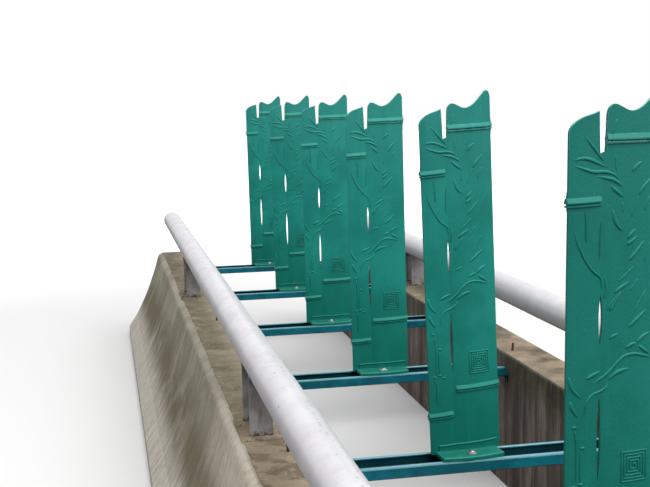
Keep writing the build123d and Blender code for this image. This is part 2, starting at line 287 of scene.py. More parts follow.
class CloudyPatches(Effect):
    """Cloudy patches with a soft or crisp rim."""

    inputs = {"Vector": ORIGIN, "Scale": 4.0, "Detail": 4.0, "Low": 0.4, "High": 0.6}

    @staticmethod
    def fill(wiring: Wiring, given: Any) -> Any:
        """Noise cut between two levels."""
        cloud = wiring.noise(given["Vector"], given["Scale"], given["Detail"], 0.6)
        return wiring.span(cloud, given["Low"], given["High"])


class DrawnStreaks(Effect):
    """Long streaks along one axis, broken up a little."""

    inputs = {"Vector": ORIGIN, "Stretch": (9.0, 9.0, 1.0), "Low": 0.66, "High": 0.84}

    @staticmethod
    def fill(wiring: Wiring, given: Any) -> Any:
        """Two stretched noises, one over the other."""
        drawn = wiring.stretch(given["Vector"], given["Stretch"])
        broad = wiring.noise(drawn, 1.0, 3.0, 0.55)
        fine = wiring.noise(drawn, 4.3, 2.0, 0.6)
        return wiring.span(wiring.shifted(broad, fine, 0.35), given["Low"], given["High"])


class ScatteredChips(Effect):
    """Small separate chips or specks of uneven size."""

    inputs = {"Vector": ORIGIN, "Scale": 40.0, "Size": 0.35, "Softness": 0.08, "Share": 0.2}

    @staticmethod
    def fill(wiring: Wiring, given: Any) -> Any:
        """Centres of a few random cells."""
        cells = wiring.add("TexVoronoi", {"Vector": given["Vector"], "Scale": given["Scale"]})
        inner = wiring.math("SUBTRACT", given["Size"], cells["Distance"])
        pick = wiring.add("SeparateColor", {0: cells["Color"]})[0]
        chosen = wiring.math("LESS_THAN", pick, given["Share"])
        return wiring.times(wiring.span(inner, 0.0, given["Softness"]), chosen)


class WornRims(Effect):
    """Worn rims, where a rounded normal leaves the flat one."""

    inputs = {"Vector": ORIGIN, "Radius": 0.002, "Scale": 40.0, "Low": 0.4, "High": 0.55}

    @staticmethod
    def fill(wiring: Wiring, given: Any) -> Any:
        """Difference of the two normals, broken up by noise."""
        rounded = wiring.add("Bevel", {"Radius": given["Radius"]}, samples=4)[0]
        match = wiring.add("VectorMath", {0: rounded, 1: wiring.normal()}, operation="DOT_PRODUCT")
        breaks = wiring.noise(given["Vector"], given["Scale"], 3.0, 0.6)
        gate = wiring.span(breaks, given["Low"], given["High"])
        return wiring.times(wiring.span(wiring.rest(match["Value"]), 0.02, 0.2), gate)


class SettledDust(Effect):
    """Dust that settles on faces that look up."""

    inputs = {"Vector": ORIGIN, "Scale": 18.0, "Low": 0.35, "High": 0.65}

    @staticmethod
    def fill(wiring: Wiring, given: Any) -> Any:
        """Upward faces, clouded by noise."""
        level = wiring.span(wiring.axes(wiring.normal())[2], 0.35, 0.95)
        cloud = wiring.noise(given["Vector"], given["Scale"], 4.0, 0.6)
        return wiring.times(level, wiring.span(cloud, given["Low"], given["High"]))


class DeepShade(Effect):
    """Shade in corners and hollows that little light reaches."""

    inputs = {"Reach": 0.05, "Open": 0.8, "Closed": 0.45}

    @staticmethod
    def fill(wiring: Wiring, given: Any) -> Any:
        """Share of the near surroundings that is closed off."""
        opening = wiring.add("AmbientOcclusion", {"Distance": given["Reach"]}, samples=6)["AO"]
        return wiring.span(opening, given["Open"], given["Closed"])


# Finishes


class Finish(Wiring):
    """One material, laid coat by coat over its base colour on the object's own coordinates."""

    name: str
    slot: Slot
    base: Colour
    roughness: float

    def __init__(self) -> None:
        """Build the material."""
        self.material = bpy.data.materials.new(self.name)
        self.material.use_nodes = True
        super().__init__(self.material.node_tree)
        self.place = self.add("TexCoord")["Object"]
        self.x, self.y, self.z = self.axes(self.place)
        self.facing_x, _, self.facing_z = self.axes(self.normal())
        self.colour: Any = self.base
        self.set({"Roughness": self.roughness})
        self.lay()
        self.set({"Base Color": self.colour})

    def lay(self) -> None:
        """Lay the coats, the relief and the gloss of the finish."""
        raise NotImplementedError

    def set(self, inputs: dict[str, Any]) -> None:
        """Set or link inputs of the material's shader, by their names."""
        self.feed(self.tree.nodes["Principled BSDF"], inputs)

    def coat(self, colour: Colour, mask: Any, strength: float = 1.0) -> None:
        """Lay a colour over the one so far, where a mask says."""
        factor = mask if strength == 1.0 else self.times(mask, strength)
        self.colour = self.add("Mix", {0: factor, 6: self.colour, 7: colour}, data_type="RGBA")[2]

    def wear(self, colour: Colour, effect: type[Effect], strength: float, within: Any = None,
             **inputs: Any) -> Any:
        """Lay a colour over the one so far in the pattern of a shared effect.

        Args:
            colour: The colour.
            effect: The effect, on the object's own coordinates unless a Vector is given.
            strength: Strength of the coat, up to one.
            within: Mask outside which nothing changes, or None.
            inputs: Value or socket for each input of the effect that isn't at its default.

        Returns:
            Socket of the effect's mask.
        """
        if "Vector" in effect.inputs:
            inputs.setdefault("Vector", self.place)
        mask = self.add("Group", inputs, node_tree=effect.group())[0]
        self.coat(colour, mask if within is None else self.times(mask, within), strength)
        return mask

    def relief(self, layers: Sequence[tuple[Any, float]], rounding: float | None = None) -> None:
        """Feed the normal from height layers.

        Args:
            layers: Height socket and depth of each layer.
            rounding: Radius by which the edges look rounded, or None.
        """
        normal = self.add("Bevel", {"Radius": rounding}, samples=6)[0] if rounding else None
        for height, depth in layers:
            inputs = {"Height": height, "Distance": depth, "Strength": 1.0}
            if normal:
                inputs["Normal"] = normal
            normal = self.add("Bump", inputs)[0]
        self.set({"Normal": normal})

    def dull(self, mask: Any, roughness: float) -> None:
        """Change the roughness where a mask says."""
        self.set({"Roughness": self.span(mask, 0.0, 1.0, self.roughness, roughness)})


class CastConcrete(Finish):
    """Old cast concrete with run-off streaks, moss and air holes."""

    name = "cast_concrete"
    slot = Slot.CONCRETE
    base: Colour = srgb(178, 173, 158)
    dark: Colour = srgb(150, 145, 128)
    stain: Colour = srgb(92, 85, 58)
    painted_shade_stain: Colour = srgb(88, 78, 44)
    moss: Colour = srgb(100, 102, 66)
    toe_grey: Colour = srgb(216, 209, 198)
    near_pale: Colour = srgb(212, 200, 184)
    inner: Colour = srgb(146, 132, 127)
    inner_stripe: Colour = srgb(70, 60, 55)
    inner_pale: Colour = srgb(176, 164, 152)
    inner_top: Colour = srgb(34, 30, 20)
    inner_moss: Colour = srgb(92, 98, 42)
    hole: Colour = srgb(80, 74, 62)
    roughness: float = 0.88
    toe_z: Range = (0.26, 0.14)
    painted_shade_foot_z: Range = (0.12, 0.24)
    painted_shade_head_z: Range = (0.44, 0.28)
    mossy_z: Range = (0.3, 0.5)
    dry_z: Range = (0.3, 0.42)
    close_y: Range = (-0.4, -1.5)
    inner_x: Range = (0.4675, 0.4665)
    overgrown_y: Range = (0.2, -1.2)
    steep_facing: Range = (0.98, 0.85)
    upright_facing: Range = (0.75, 0.4)
    inner_facing: Range = (0.5, 0.8)

    def outer_face(self) -> None:
        """Run-off, a damp band at mid height and a paler toe."""
        steep = self.span(self.facing_z, *self.steep_facing)
        upright = self.span(self.facing_z, *self.upright_facing)
        closer = self.span(self.y, *self.close_y)
        self.coat(self.toe_grey, self.span(self.z, *self.toe_z), 0.8)
        self.coat(self.near_pale, self.times(closer, steep), 0.95)
        band = self.times(self.span(self.z, *self.painted_shade_foot_z), self.span(self.z, *self.painted_shade_head_z),
                          steep, self.span(closer, 0.0, 1.0, 1.0, 0.75))
        self.wear(self.painted_shade_stain, CloudyPatches, 0.84, band, Scale=5.0, Detail=5.0, Low=0.26, High=0.56)
        below_edge = self.times(self.span(self.z, *self.mossy_z), upright,
                                self.span(closer, 0.0, 1.0, 1.0, 0.3))
        for colour, strength, within, stretch, low, high in (
            (self.stain, 0.42, upright, (5.0, 30.0, 1.3), 0.6, 0.9),
            (self.stain, 0.34, upright, (9.0, 95.0, 3.6), 0.6, 0.86),
            (self.moss, 0.62, below_edge, (7.0, 42.0, 2.6), 0.56, 0.86),
        ):
            self.wear(colour, DrawnStreaks, strength, within, Stretch=stretch, Low=low, High=high)
        self.coat(self.near_pale, self.times(closer, steep, self.span(self.z, *self.dry_z)), 0.55)

    def inner_face(self) -> None:
        """Pinkish grey with dark vertical lines, and growth that hangs from the top edge."""
        inside = self.times(self.span(self.unsigned(self.x), *self.inner_x),
                            self.span(self.unsigned(self.facing_x), *self.inner_facing))
        self.coat(self.inner, inside)
        tall = self.stretch(self.place, (1.0, 1.0, 0.3))
        self.wear(self.inner_pale, CloudyPatches, 0.65, inside, Vector=tall, Scale=17.0, Low=0.5, High=0.64)
        for strength, stretch, low, high in (
            (0.6, (2.0, 5.0, 0.5), 0.6, 0.78),
            (0.7, (3.0, 17.0, 0.8), 0.66, 0.74),
            (0.5, (9.0, 60.0, 6.0), 0.6, 0.9),
        ):
            self.wear(self.inner_stripe, DrawnStreaks, strength, inside, Stretch=stretch, Low=low, High=high)
        hanging = self.noise(self.stretch(self.place, (3.0, 21.0, 2.5)), 1.0, 5.0, 0.62)
        edge = self.shifted(self.z, hanging, 0.34)
        topmost = self.times(inside, self.span(self.y, *self.overgrown_y, 0.45, 0.92))
        self.coat(self.inner_top, self.times(topmost, self.span(edge, 0.5, 0.64)))
        tufted = self.times(topmost, self.span(edge, 0.52, 0.6))
        blown = self.stretch(self.place, (1.0, 1.0, 0.4))
        self.wear(self.inner_moss, CloudyPatches, 0.85, tufted, Vector=blown, Scale=26.0, Low=0.5, High=0.6)

    def lay(self) -> None:
        """Lay both faces' stains, then air holes and grit."""
        self.wear(self.dark, CloudyPatches, 1.0, Scale=3.1, Detail=6.0)
        self.outer_face()
        self.inner_face()
        self.wear(self.stain, CloudyPatches, 0.2, Scale=34.0, Detail=5.0, Low=0.46, High=0.66)
        holes = self.wear(self.hole, ScatteredChips, 0.6, Scale=55.0, Size=0.22, Share=0.16)
        grit = self.noise(self.place, 260.0, 5.0, 0.65)
        self.coat(self.dark, self.span(grit, 0.5, 0.75), 0.5)
        swell = self.noise(self.place, 9.0, 4.0, 0.55)
        self.relief([(swell, 0.004), (self.rest(holes), 0.0025), (grit, 0.0016)], 0.004)


class TrowelledMortar(Finish):
    """Brownish mortar cap, trowelled across the wall, blotched by damp and dust."""

    name = "trowelled_mortar"
    slot = Slot.CONCRETE
    base: Colour = srgb(138, 129, 107)
    far: Colour = srgb(104, 94, 78)
    damp: Colour = srgb(104, 97, 70)
    brown: Colour = srgb(94, 74, 54)
    pale: Colour = srgb(194, 180, 154)
    edge: Colour = srgb(66, 60, 44)
    close: Colour = srgb(178, 156, 134)
    bleached: Colour = srgb(204, 178, 154)
    grit: Colour = srgb(88, 80, 66)
    sand: Colour = srgb(208, 198, 180)
    roughness: float = 0.92
    near_x: Range = (0.1, -0.1)
    far_x: Range = (-0.1, 0.1)
    inner_x: Range = (0.56, 0.48)
    close_y: Range = (-0.5, -1.6)
    sunny_y: Range = (0.9, -0.3)
    edge_facing: Range = (0.35, 0.7)

    def lay(self) -> None:
        """Lay blotches, trowel marks, a paler near end and grit."""
        far_side = self.span(self.x, *self.far_x)
        self.coat(self.far, far_side)
        drawn = self.stretch(self.place, (1.3, 1.25, 1.0))
        for colour, strength, scale, low, high in (
            (self.damp, 0.55, 4.6, 0.48, 0.62),
            (self.brown, 0.55, 8.5, 0.5, 0.64),
            (self.pale, 0.5, 6.3, 0.53, 0.7),
            (self.damp, 0.45, 27.0, 0.5, 0.7),
            (self.pale, 0.4, 38.0, 0.54, 0.74),
        ):
            self.wear(colour, CloudyPatches, strength, Vector=drawn, Scale=scale, Detail=6.0, Low=low,
                      High=high)
        marks = self.wear(self.damp, DrawnStreaks, 0.25, Stretch=(9.0, 34.0, 5.0), Low=0.62, High=0.9)
        self.coat(self.pale, self.span(self.unsigned(self.x), *self.inner_x), 0.34)
        close_end = self.times(self.span(self.x, *self.near_x), self.span(self.y, *self.close_y))
        self.coat(self.close, close_end, 0.36)
        sunny = self.times(far_side, self.span(self.y, *self.sunny_y))
        for colour, strength, within, scale, low, high in (
            (self.bleached, 0.6, sunny, 9.0, 0.34, 0.68),
            (self.brown, 0.75, close_end, 7.0, 0.49, 0.58),
        ):
            self.wear(colour, CloudyPatches, strength, within, Vector=drawn, Scale=scale, Detail=6.0, Low=low,
                      High=high)
        self.coat(self.edge, self.span(self.unsigned(self.facing_x), *self.edge_facing), 0.85)
        self.wear(self.grit, ScatteredChips, 0.7, Scale=120.0, Size=0.3, Share=0.2)
        swept = self.stretch(self.place, (1.0, 0.6, 1.0))
        self.wear(self.sand, ScatteredChips, 0.32, Vector=swept, Scale=90.0, Size=0.34, Share=0.1)
        self.relief([(marks, 0.0012), (self.noise(self.place, 300.0, 5.0, 0.65), 0.0016)])


class RailPaint(Finish):
    """Light grey gloss paint on pipe, dirty on top and chipped."""

    name = "rail_paint_worn"
    slot = Slot.RAIL
    base: Colour = srgb(210, 208, 212)
    shade: Colour = srgb(202, 200, 205)
    dirt: Colour = srgb(138, 132, 124)
    bare: Colour = srgb(118, 104, 94)
    undercoat: Colour = srgb(96, 116, 112)
    underside: Colour = srgb(66, 63, 64)
    roughness: float = 0.36
    worn_facing: Range = (-0.1, 0.2)
    underside_shade_facing: Range = (-0.4, -0.85)

    def lay(self) -> None:
        """Lay dirt and dust, chips down to the undercoat, and painted shade on the underside."""
        self.set({"Coat Weight": 0.2, "Coat Roughness": 0.22})
        self.wear(self.shade, CloudyPatches, 1.0, Scale=7.0, Detail=5.0)
        self.wear(self.dirt, DrawnStreaks, 0.14, Stretch=(34.0, 4.0, 34.0), Low=0.68, High=0.9)
        dust = self.wear(self.dirt, SettledDust, 0.1, Scale=30.0, Low=0.45, High=0.7)
        worn_side = self.span(self.facing_x, *self.worn_facing)
        self.wear(self.undercoat, ScatteredChips, 0.7, worn_side, Scale=90.0, Size=0.3, Share=0.3)
        chips = self.wear(self.bare, ScatteredChips, 0.7, Scale=34.0, Size=0.16, Share=0.03, Softness=0.03)
        # Painted shade on the pipe's underside.
        self.coat(self.underside, self.span(self.facing_z, *self.underside_shade_facing), 0.9)
        ripple = self.noise(self.stretch(self.place, (12.0, 7.0, 12.0)), 1.0)
        peel = self.noise(self.place, 190.0, 2.0)
        self.relief([(ripple, 0.0008), (self.rest(chips), 0.0008), (peel, 0.0004)])
        self.dull(dust, 0.62)


class PostPaint(Finish):
    """Grey paint on rolled steel, flaking at the rims and rusty at the foot."""

    name = "post_paint_rusty"
    slot = Slot.POST
    base: Colour = srgb(158, 156, 155)
    shade: Colour = srgb(128, 125, 124)
    bare: Colour = srgb(176, 172, 168)
    rust: Colour = srgb(98, 76, 72)
    deep_rust: Colour = srgb(52, 40, 40)
    roughness: float = 0.55
    under_pipe_z: Range = (0.63, 0.672)
    rusty_z: Range = (0.484, 0.472)
    rotten_z: Range = (0.472, 0.464)

    def lay(self) -> None:
        """Lay rust runs, bare rims and a ragged line of rust round the foot."""
        self.wear(self.shade, CloudyPatches, 1.0, Scale=16.0, Detail=5.0)
        self.wear(self.rust, DrawnStreaks, 0.45, Stretch=(40.0, 40.0, 5.0), Low=0.66, High=0.86)
        self.coat(self.deep_rust, self.span(self.z, *self.under_pipe_z), 0.45)
        self.wear(self.bare, WornRims, 0.8, Radius=0.004, Scale=60.0, Low=0.42, High=0.5)
        ragged = self.noise(self.place, 70.0, 5.0, 0.65)
        line = self.shifted(self.z, ragged, -0.075)
        foot = self.span(line, *self.rusty_z)
        self.coat(self.rust, foot, 0.9)
        self.coat(self.deep_rust, self.span(line, *self.rotten_z), 0.9)
        self.relief([(self.noise(self.place, 45.0, 4.0), 0.0012), (ragged, 0.0012)], 0.0016)
        self.dull(foot, 0.92)


class BeamPaint(Finish):
    """Teal gloss paint on folded channel, chalky on its rims and dusty on upward faces, with a painted
    highlight on its lips and painted shade inside the channel and below it.
    """

    name = "beam_paint_teal"
    slot = Slot.BEAM
    base: Colour = srgb(8, 112, 128)
    deep: Colour = srgb(4, 90, 104)
    chalk_and_highlight: Colour = srgb(150, 205, 215)
    painted_shade: Colour = srgb(0, 20, 30)
    dust: Colour = srgb(120, 128, 116)
    rust: Colour = srgb(74, 70, 66)
    roughness: float = 0.34
    lit_lip_z: Range = (0.4585, 0.4615)
    underside_z: Range = (0.43, 0.427)
    level_facing: Range = (0.6, 0.95)

    def lay(self) -> None:
        """Lay chalky rims, a painted highlight on the lips, dust, painted shade in the hollow and below the
        beam, and a few rust specks.
        """
        self.set({"Coat Weight": 0.08, "Coat Roughness": 0.18, "Specular IOR Level": 0.3})
        self.wear(self.deep, CloudyPatches, 1.0, Scale=9.0, Detail=5.0)
        self.wear(self.chalk_and_highlight, WornRims, 0.7, Radius=0.0025, Scale=24.0, Low=0.3, High=0.5)
        # Painted highlight on the upward faces of the lips; the same pale colour also marks chalky worn rims.
        lit_lips = self.times(self.span(self.z, *self.lit_lip_z), self.span(self.facing_z, *self.level_facing))
        self.coat(self.chalk_and_highlight, lit_lips, 0.5)
        dust = self.wear(self.dust, SettledDust, 0.2, Scale=26.0)
        # Painted shade inside the channel and on the cleats below the beam.
        self.wear(self.painted_shade, DeepShade, 0.95, Reach=0.045, Open=0.76, Closed=0.55)
        self.coat(self.painted_shade, self.span(self.z, *self.underside_z), 0.6)
        self.wear(self.rust, ScatteredChips, 0.8, Scale=60.0, Size=0.3, Share=0.015)
        swell = self.noise(self.place, 12.0, 2.0)
        peel = self.noise(self.place, 160.0, 2.0)
        self.relief([(swell, 0.0022), (peel, 0.0004)], 0.0015)
        self.dull(dust, 0.6)


class DullZinc(Finish):
    """Dull zinc coating with faint crystals and white bloom."""

    name = "dull_zinc"
    slot = Slot.ZINC
    base: Colour = srgb(172, 175, 178)
    dark: Colour = srgb(128, 131, 135)
    bloom: Colour = srgb(202, 204, 202)
    rust: Colour = srgb(112, 78, 52)
    roughness: float = 0.46

    def lay(self) -> None:
        """Lay crystals, bloom and rust specks."""
        self.set({"Metallic": 0.85})
        cells = self.add("TexVoronoi", {"Vector": self.place, "Scale": 120.0})
        self.coat(self.dark, self.add("SeparateColor", {0: cells["Color"]})[1])
        bloom = self.wear(self.bloom, CloudyPatches, 0.5, Scale=60.0, Low=0.52, High=0.66)
        self.wear(self.rust, ScatteredChips, 0.7, Scale=160.0, Size=0.35, Share=0.12)
        self.relief([(self.noise(self.place, 240.0), 0.0004)], 0.0008)
        self.dull(bloom, 0.75)


class RustySteel(Finish):
    """Bare bar steel under old rust."""

    name = "rusty_steel"
    slot = Slot.POST
    base: Colour = srgb(104, 66, 46)
    deep: Colour = srgb(48, 34, 30)
    bright: Colour = srgb(128, 82, 56)
    roughness: float = 0.9

    def lay(self) -> None:
        """Lay deep patches and bright flecks of rust."""
        self.wear(self.deep, CloudyPatches, 1.0, Scale=90.0, Detail=6.0)
        self.wear(self.bright, CloudyPatches, 0.6, Scale=240.0, Low=0.55, High=0.68)
        self.relief([(self.noise(self.place, 420.0, 5.0, 0.7), 0.0014)])


class PanelGreen(Finish):
    """Satin green moulded plastic, lighter at the top partly from bleaching and partly from painted sky
    light, darker towards the bottom, with painted shade on the nearest panels and painted highlights and
    shade on its edges and mouldings.
    """

    name = "moulded_green"
    slot = Slot.PANEL
    base: Colour = srgb(22, 134, 122)
    deep: Colour = srgb(14, 120, 109)
    lit_top_green: Colour = srgb(46, 141, 132)
    low_green: Colour = srgb(0, 105, 91)
    near_shade_green: Colour = srgb(4, 92, 80)
    dust: Colour = srgb(84, 128, 112)
    cut_edge_and_highlight: Colour = srgb(142, 202, 186)
    lit: Colour = srgb(40, 160, 140)
    shaded: Colour = srgb(0, 78, 66)
    scuff: Colour = srgb(72, 150, 136)
    roughness: float = 0.5
    top_z: Range = (1.05, 1.45)
    low_z: Range = (0.8, 0.47)
    rim_highlight_z: Range = (1.33, 1.36)
    head_highlight_z: Range = (1.352, 1.366)
    near_shade_y: Range = (-0.9, -2.4)
    lit_slope_facing: Range = (0.2, 0.5)
    flat_facing: Range = (0.97, 0.85)
    shaded_facing: Range = (-0.12, -0.45)
    head_facing: Range = (0.45, 0.7)
    lit_side_facing: Range = (0.92, 0.98)

    def lay(self) -> None:
        """Lay the greens by height with painted sky light at the top, painted shade on the nearest panels,
        run-off, dust, worn rims, painted highlights on the head and on faces turned to +X, painted highlight
        and shade on the slopes of the mouldings, and scratches.
        """
        self.set({"Specular IOR Level": 0.22})
        self.wear(self.deep, CloudyPatches, 1.0, Scale=6.0, Detail=5.0)
        # Lighter towards the top: partly bleaching, partly painted sky light.
        self.coat(self.lit_top_green, self.span(self.z, *self.top_z), 0.7)
        self.coat(self.low_green, self.span(self.z, *self.low_z), 0.9)
        # Painted shade: the panels at the -Y end are darker.
        self.coat(self.near_shade_green, self.span(self.y, *self.near_shade_y), 0.55)
        self.wear(self.deep, DrawnStreaks, 0.5, Stretch=(26.0, 26.0, 2.4), Low=0.66, High=0.9)
        dust = self.wear(self.dust, SettledDust, 0.18, Scale=40.0)
        rims = self.wear(self.scuff, WornRims, 0.16, Radius=0.0025, Scale=30.0, Low=0.38, High=0.6)
        # Painted highlight along the rims at the panel's top, partly the paler cut edge.
        self.coat(self.cut_edge_and_highlight, self.times(rims, self.span(self.z, *self.rim_highlight_z)), 0.7)
        # Painted highlight on upward slopes of the mouldings, painted shade on downward ones.
        lit_slopes = self.times(self.span(self.facing_z, *self.lit_slope_facing),
                            self.span(self.facing_z, *self.flat_facing))
        self.coat(self.lit, lit_slopes, 0.24)
        self.coat(self.shaded, self.span(self.facing_z, *self.shaded_facing), 0.5)
        # Painted highlight on the upward top faces of the panel's head and on faces turned to +X, partly the
        # paler cut edge.
        cut = self.times(self.span(self.z, *self.head_highlight_z), self.span(self.facing_z, *self.head_facing))
        self.coat(self.cut_edge_and_highlight, cut, 0.75)
        self.coat(self.cut_edge_and_highlight, self.span(self.facing_x, *self.lit_side_facing), 0.6)
        self.wear(self.scuff, DrawnStreaks, 0.25, Stretch=(90.0, 90.0, 14.0), Low=0.86, High=0.96)
        swell = self.noise(self.stretch(self.place, (7.0, 7.0, 3.5)), 1.0, 2.0)
        self.relief([(swell, 0.006), (self.noise(self.place, 150.0), 0.0006)], 0.0016)
        self.dull(dust, 0.7)


class PaleFloor(Finish):
    """Plain pale floor, darker for every ray but the camera's, as a road would be."""

    name = "pale_floor"
    base: Colour = srgb(106, 106, 109)
    seen: Colour = srgb(226, 226, 226)
    roughness: float = 0.9
    fade: Range = (3.5, 9.0)

    def lay(self) -> None:
        """Show the camera a pale floor that fades to white far off."""
        ray = self.add("LightPath")["Is Camera Ray"]
        self.coat(self.seen, ray)
        away = self.add("VectorMath", {0: self.place}, operation="LENGTH")["Value"]
        glow = self.times(ray, self.span(away, *self.fade))
        self.set({"Emission Color": WHITE, "Emission Strength": glow})


class Finishes:
    """Every finish of the part, built once."""

    def __init__(self) -> None:
        """Build all the materials."""
        self.concrete = CastConcrete()
        self.mortar = TrowelledMortar()
        self.rail = RailPaint()
        self.post = PostPaint()
        self.beam = BeamPaint()
        self.zinc = DullZinc()
        self.rust = RustySteel()
        self.panel = PanelGreen()


# Mesh helpers


def add_solid(target: Mesh, solid: Mesh, place: Matrix = UNMOVED) -> None:
    """Move a finished solid to its place and add it to a larger mesh.

    Args:
        target: Mesh that takes the solid.
        solid: The solid, which is used up.
        place: Its place.
    """
    bmesh.ops.transform(solid, matrix=place, verts=solid.verts)
    passing = bpy.data.meshes.new("passing")
    solid.to_mesh(passing)
    solid.free()
    target.from_mesh(passing)
    bpy.data.meshes.remove(passing)


def prism(sides: int, radius: float, height: float, rim: float, base: float = 0.0) -> Mesh:
    """Upright prism with a bevelled top rim.

    Args:
        sides: Number of sides.
        radius: Radius to its corners.
        height: Its height.
        rim: Width of the bevel.
        base: Height of its foot.

    Returns:
        The solid.
    """
    solid = bmesh.new()
    bmesh.ops.create_cone(solid, cap_ends=True, segments=sides, radius1=radius, radius2=radius, depth=height)
    top = [edge for edge in solid.edges if all(vert.co.z > height * 0.4 for vert in edge.verts)]
    bmesh.ops.bevel(solid, geom=top, offset=rim, affect="EDGES", segments=2, profile=0.5, material=-1)
    bmesh.ops.translate(solid, verts=solid.verts, vec=(0, 0, base + height / 2))
    return solid


def bar(sides: int, radius: float, length: float, cuts: int = 0, along: str = "Z",
        closed: bool = True) -> Mesh:
    """Round bar or tube about the middle of an axis.

    Args:
        sides: Number of sides.
        radius: Its radius.
        length: Its length.
        cuts: Number of rings of points between its ends.
        along: The axis, as X, Y or Z.
        closed: Whether its ends are closed.

    Returns:
        The solid.
    """
    solid = bmesh.new()
    bmesh.ops.create_cone(solid, cap_ends=closed, segments=sides, radius1=radius, radius2=radius,
                          depth=length)
    if cuts:
        runs = [edge for edge in solid.edges if abs(edge.verts[0].co.z - edge.verts[1].co.z) > length / 2]
        bmesh.ops.subdivide_edges(solid, edges=runs, cuts=cuts)
    if along != "Z":
        turn = Matrix.Rotation(math.pi / 2, 3, "X" if along == "Y" else "Y")
        bmesh.ops.rotate(solid, matrix=turn, verts=solid.verts)
    return solid


def sheet(width: float, length: float, cell: float) -> Mesh:
    """Flat sheet of about square cells round the origin.

    Args:
        width: Its size along X.
        length: Its size along Y.
        cell: Size of a cell.

    Returns:
        The sheet.
    """
    flat = bmesh.new()
    bmesh.ops.create_grid(flat, x_segments=round(width / cell), y_segments=round(length / cell), size=0.5)
    bmesh.ops.scale(flat, vec=(width, length, 1.0), verts=flat.verts)
    return flat


def thicken(flat: Mesh, thickness: float) -> None:
    """Turn a sheet into a closed skin of some thickness."""
    bmesh.ops.recalc_face_normals(flat, faces=flat.faces)
    bmesh.ops.solidify(flat, geom=flat.faces[:], thickness=thickness)


def link(name: str, data: Any) -> bpy.types.Object:
    """Put an object into the scene.

    Args:
        name: Its name.
        data: Its mesh, camera or light.

    Returns:
        The object.
    """
    added = bpy.data.objects.new(name, data)
    bpy.context.scene.collection.objects.link(added)
    return added


def add_piece(name: str, solid: Mesh, finish: Finish, place: Matrix = UNMOVED,
              sharp_from: float = 40.0) -> bpy.types.Object:
    """Turn a mesh in millimetres into a finished piece of the part in metres.

    Args:
        name: Name of the piece.
        solid: Its mesh, which is used up.
        finish: Its finish.
        place: Its place, in millimetres.
        sharp_from: Angle in degrees from which an edge stays sharp.

    Returns:
        The piece.
    """
    bmesh.ops.transform(solid, matrix=Matrix.Scale(MM, 4) @ place, verts=solid.verts)
    bmesh.ops.recalc_face_normals(solid, faces=solid.faces)
    for face in solid.faces:
        face.smooth = True
    mesh = bpy.data.meshes.new(name)
    solid.to_mesh(mesh)
    solid.free()
    mesh.set_sharp_from_angle(angle=math.radians(sharp_from))
    mesh.materials.append(finish.material)
    piece = link(name, mesh)
    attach(piece, BODY)
    LOG.info("%s: %d faces", name, len(mesh.polygons))
    return piece


def dress(node: str, finish: Finish) -> None:
    """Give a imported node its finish.

    Args:
        node: Name of the node.
        finish: The finish.
    """
    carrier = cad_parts[node]
    if not carrier.material_slots:
        carrier.data.materials.append(finish.material)
    for place in carrier.material_slots:
        place.material = finish.material
    LOG.info("%s: %s", node, finish.name)


def scatter(seed: int, low: float, high: float, point: Sequence[float]) -> float:
    """Smooth random value that depends on a place.

    Args:
        seed: Number of the pattern.
        low: Lowest value.
        high: Highest value.
        point: Place in the pattern.

    Returns:
        A value between low and high.
    """
    level = noise.noise(Vector(point) + Vector((seed * 7.3, seed * 3.1, seed * 5.7))) * 0.5 + 0.5
    return low + (high - low) * min(max(level, 0.0), 1.0)


# Walls


@dataclass
class ParapetWall:
    """One cast wall with its trowelled mortar cap."""

    finishes: Finishes
    side: Side
    inner: float = 468.0
    outer: float = 610.0
    flat_to: float = 609.0
    edge_radius: float = 38.0
    cell: float = 12.0
    rise: float = 2.2
    feather: float = 0.08
    seat: float = 0.4
    wave: float = 4.5
    inner_wave: float = 2.0
    skin: float = 4.0
    ridge_seed: int = 3
    break_seed: int = 4
    swell_seed: int = 5
    ragged_seed: int = 11
    broad_seed: int = 17

    def cap_height(self, across: float, along: float) -> float:
        """Height of the mortar above the concrete, with trowel ridges across the wall.

        Args:
            across: Distance from the middle of the gap.
            along: Place along the road.

        Returns:
            The height.
        """
        ridge = scatter(self.ridge_seed, -0.5, 0.5, (across * 0.01, along * 0.03 + across * 0.006, 0.0))
        broken = scatter(self.break_seed, 0.0, 1.0, (across * 0.015, along * 0.009, 0.0))
        swell = scatter(self.swell_seed, 0.2, 1.0, (across * 0.02, along * 0.004, 0.0))
        return self.rise * max(swell + ridge * broken, 0.0)

    def cap(self) -> None:
        """Lay the mortar on the wall's top."""
        width = self.outer - self.inner
        mortar = sheet(width, SECTION.length, self.cell)
        for vert in mortar.verts:
            along = vert.co.y
            share = vert.co.x / width + 0.5
            ragged = scatter(self.side.value + self.ragged_seed, -1.0, 1.0, (share, along * 0.021, 0.0))
            broad = scatter(self.side.value + self.broad_seed, -1.0, 1.0, (0.0, along * 0.0035, 0.0))
            across = self.inner + width * share + share ** 4 * self.wave * (broad + 0.6 * ragged)
            across += (1 - share) ** 4 * self.inner_wave * ragged
            fall = max(across - self.flat_to, 0.0) ** 2 / (2 * self.edge_radius)
            rim = min(share, self.feather) / self.feather
            height = self.cap_height(across, along) * (0.25 + 0.75 * rim)
            vert.co = (across, along, SECTION.wall_height - fall + self.seat + height)
        bmesh.ops.scale(mortar, vec=(self.side.value, 1.0, 1.0), verts=mortar.verts)
        thicken(mortar, self.skin)
        add_piece(f"{self.side.word}_mortar_cap", mortar, self.finishes.mortar, sharp_from=60.0)

    def build(self) -> None:
        """Dress the wall and lay its cap."""
        dress(f"{self.side.word}_wall", self.finishes.concrete)
        self.cap()


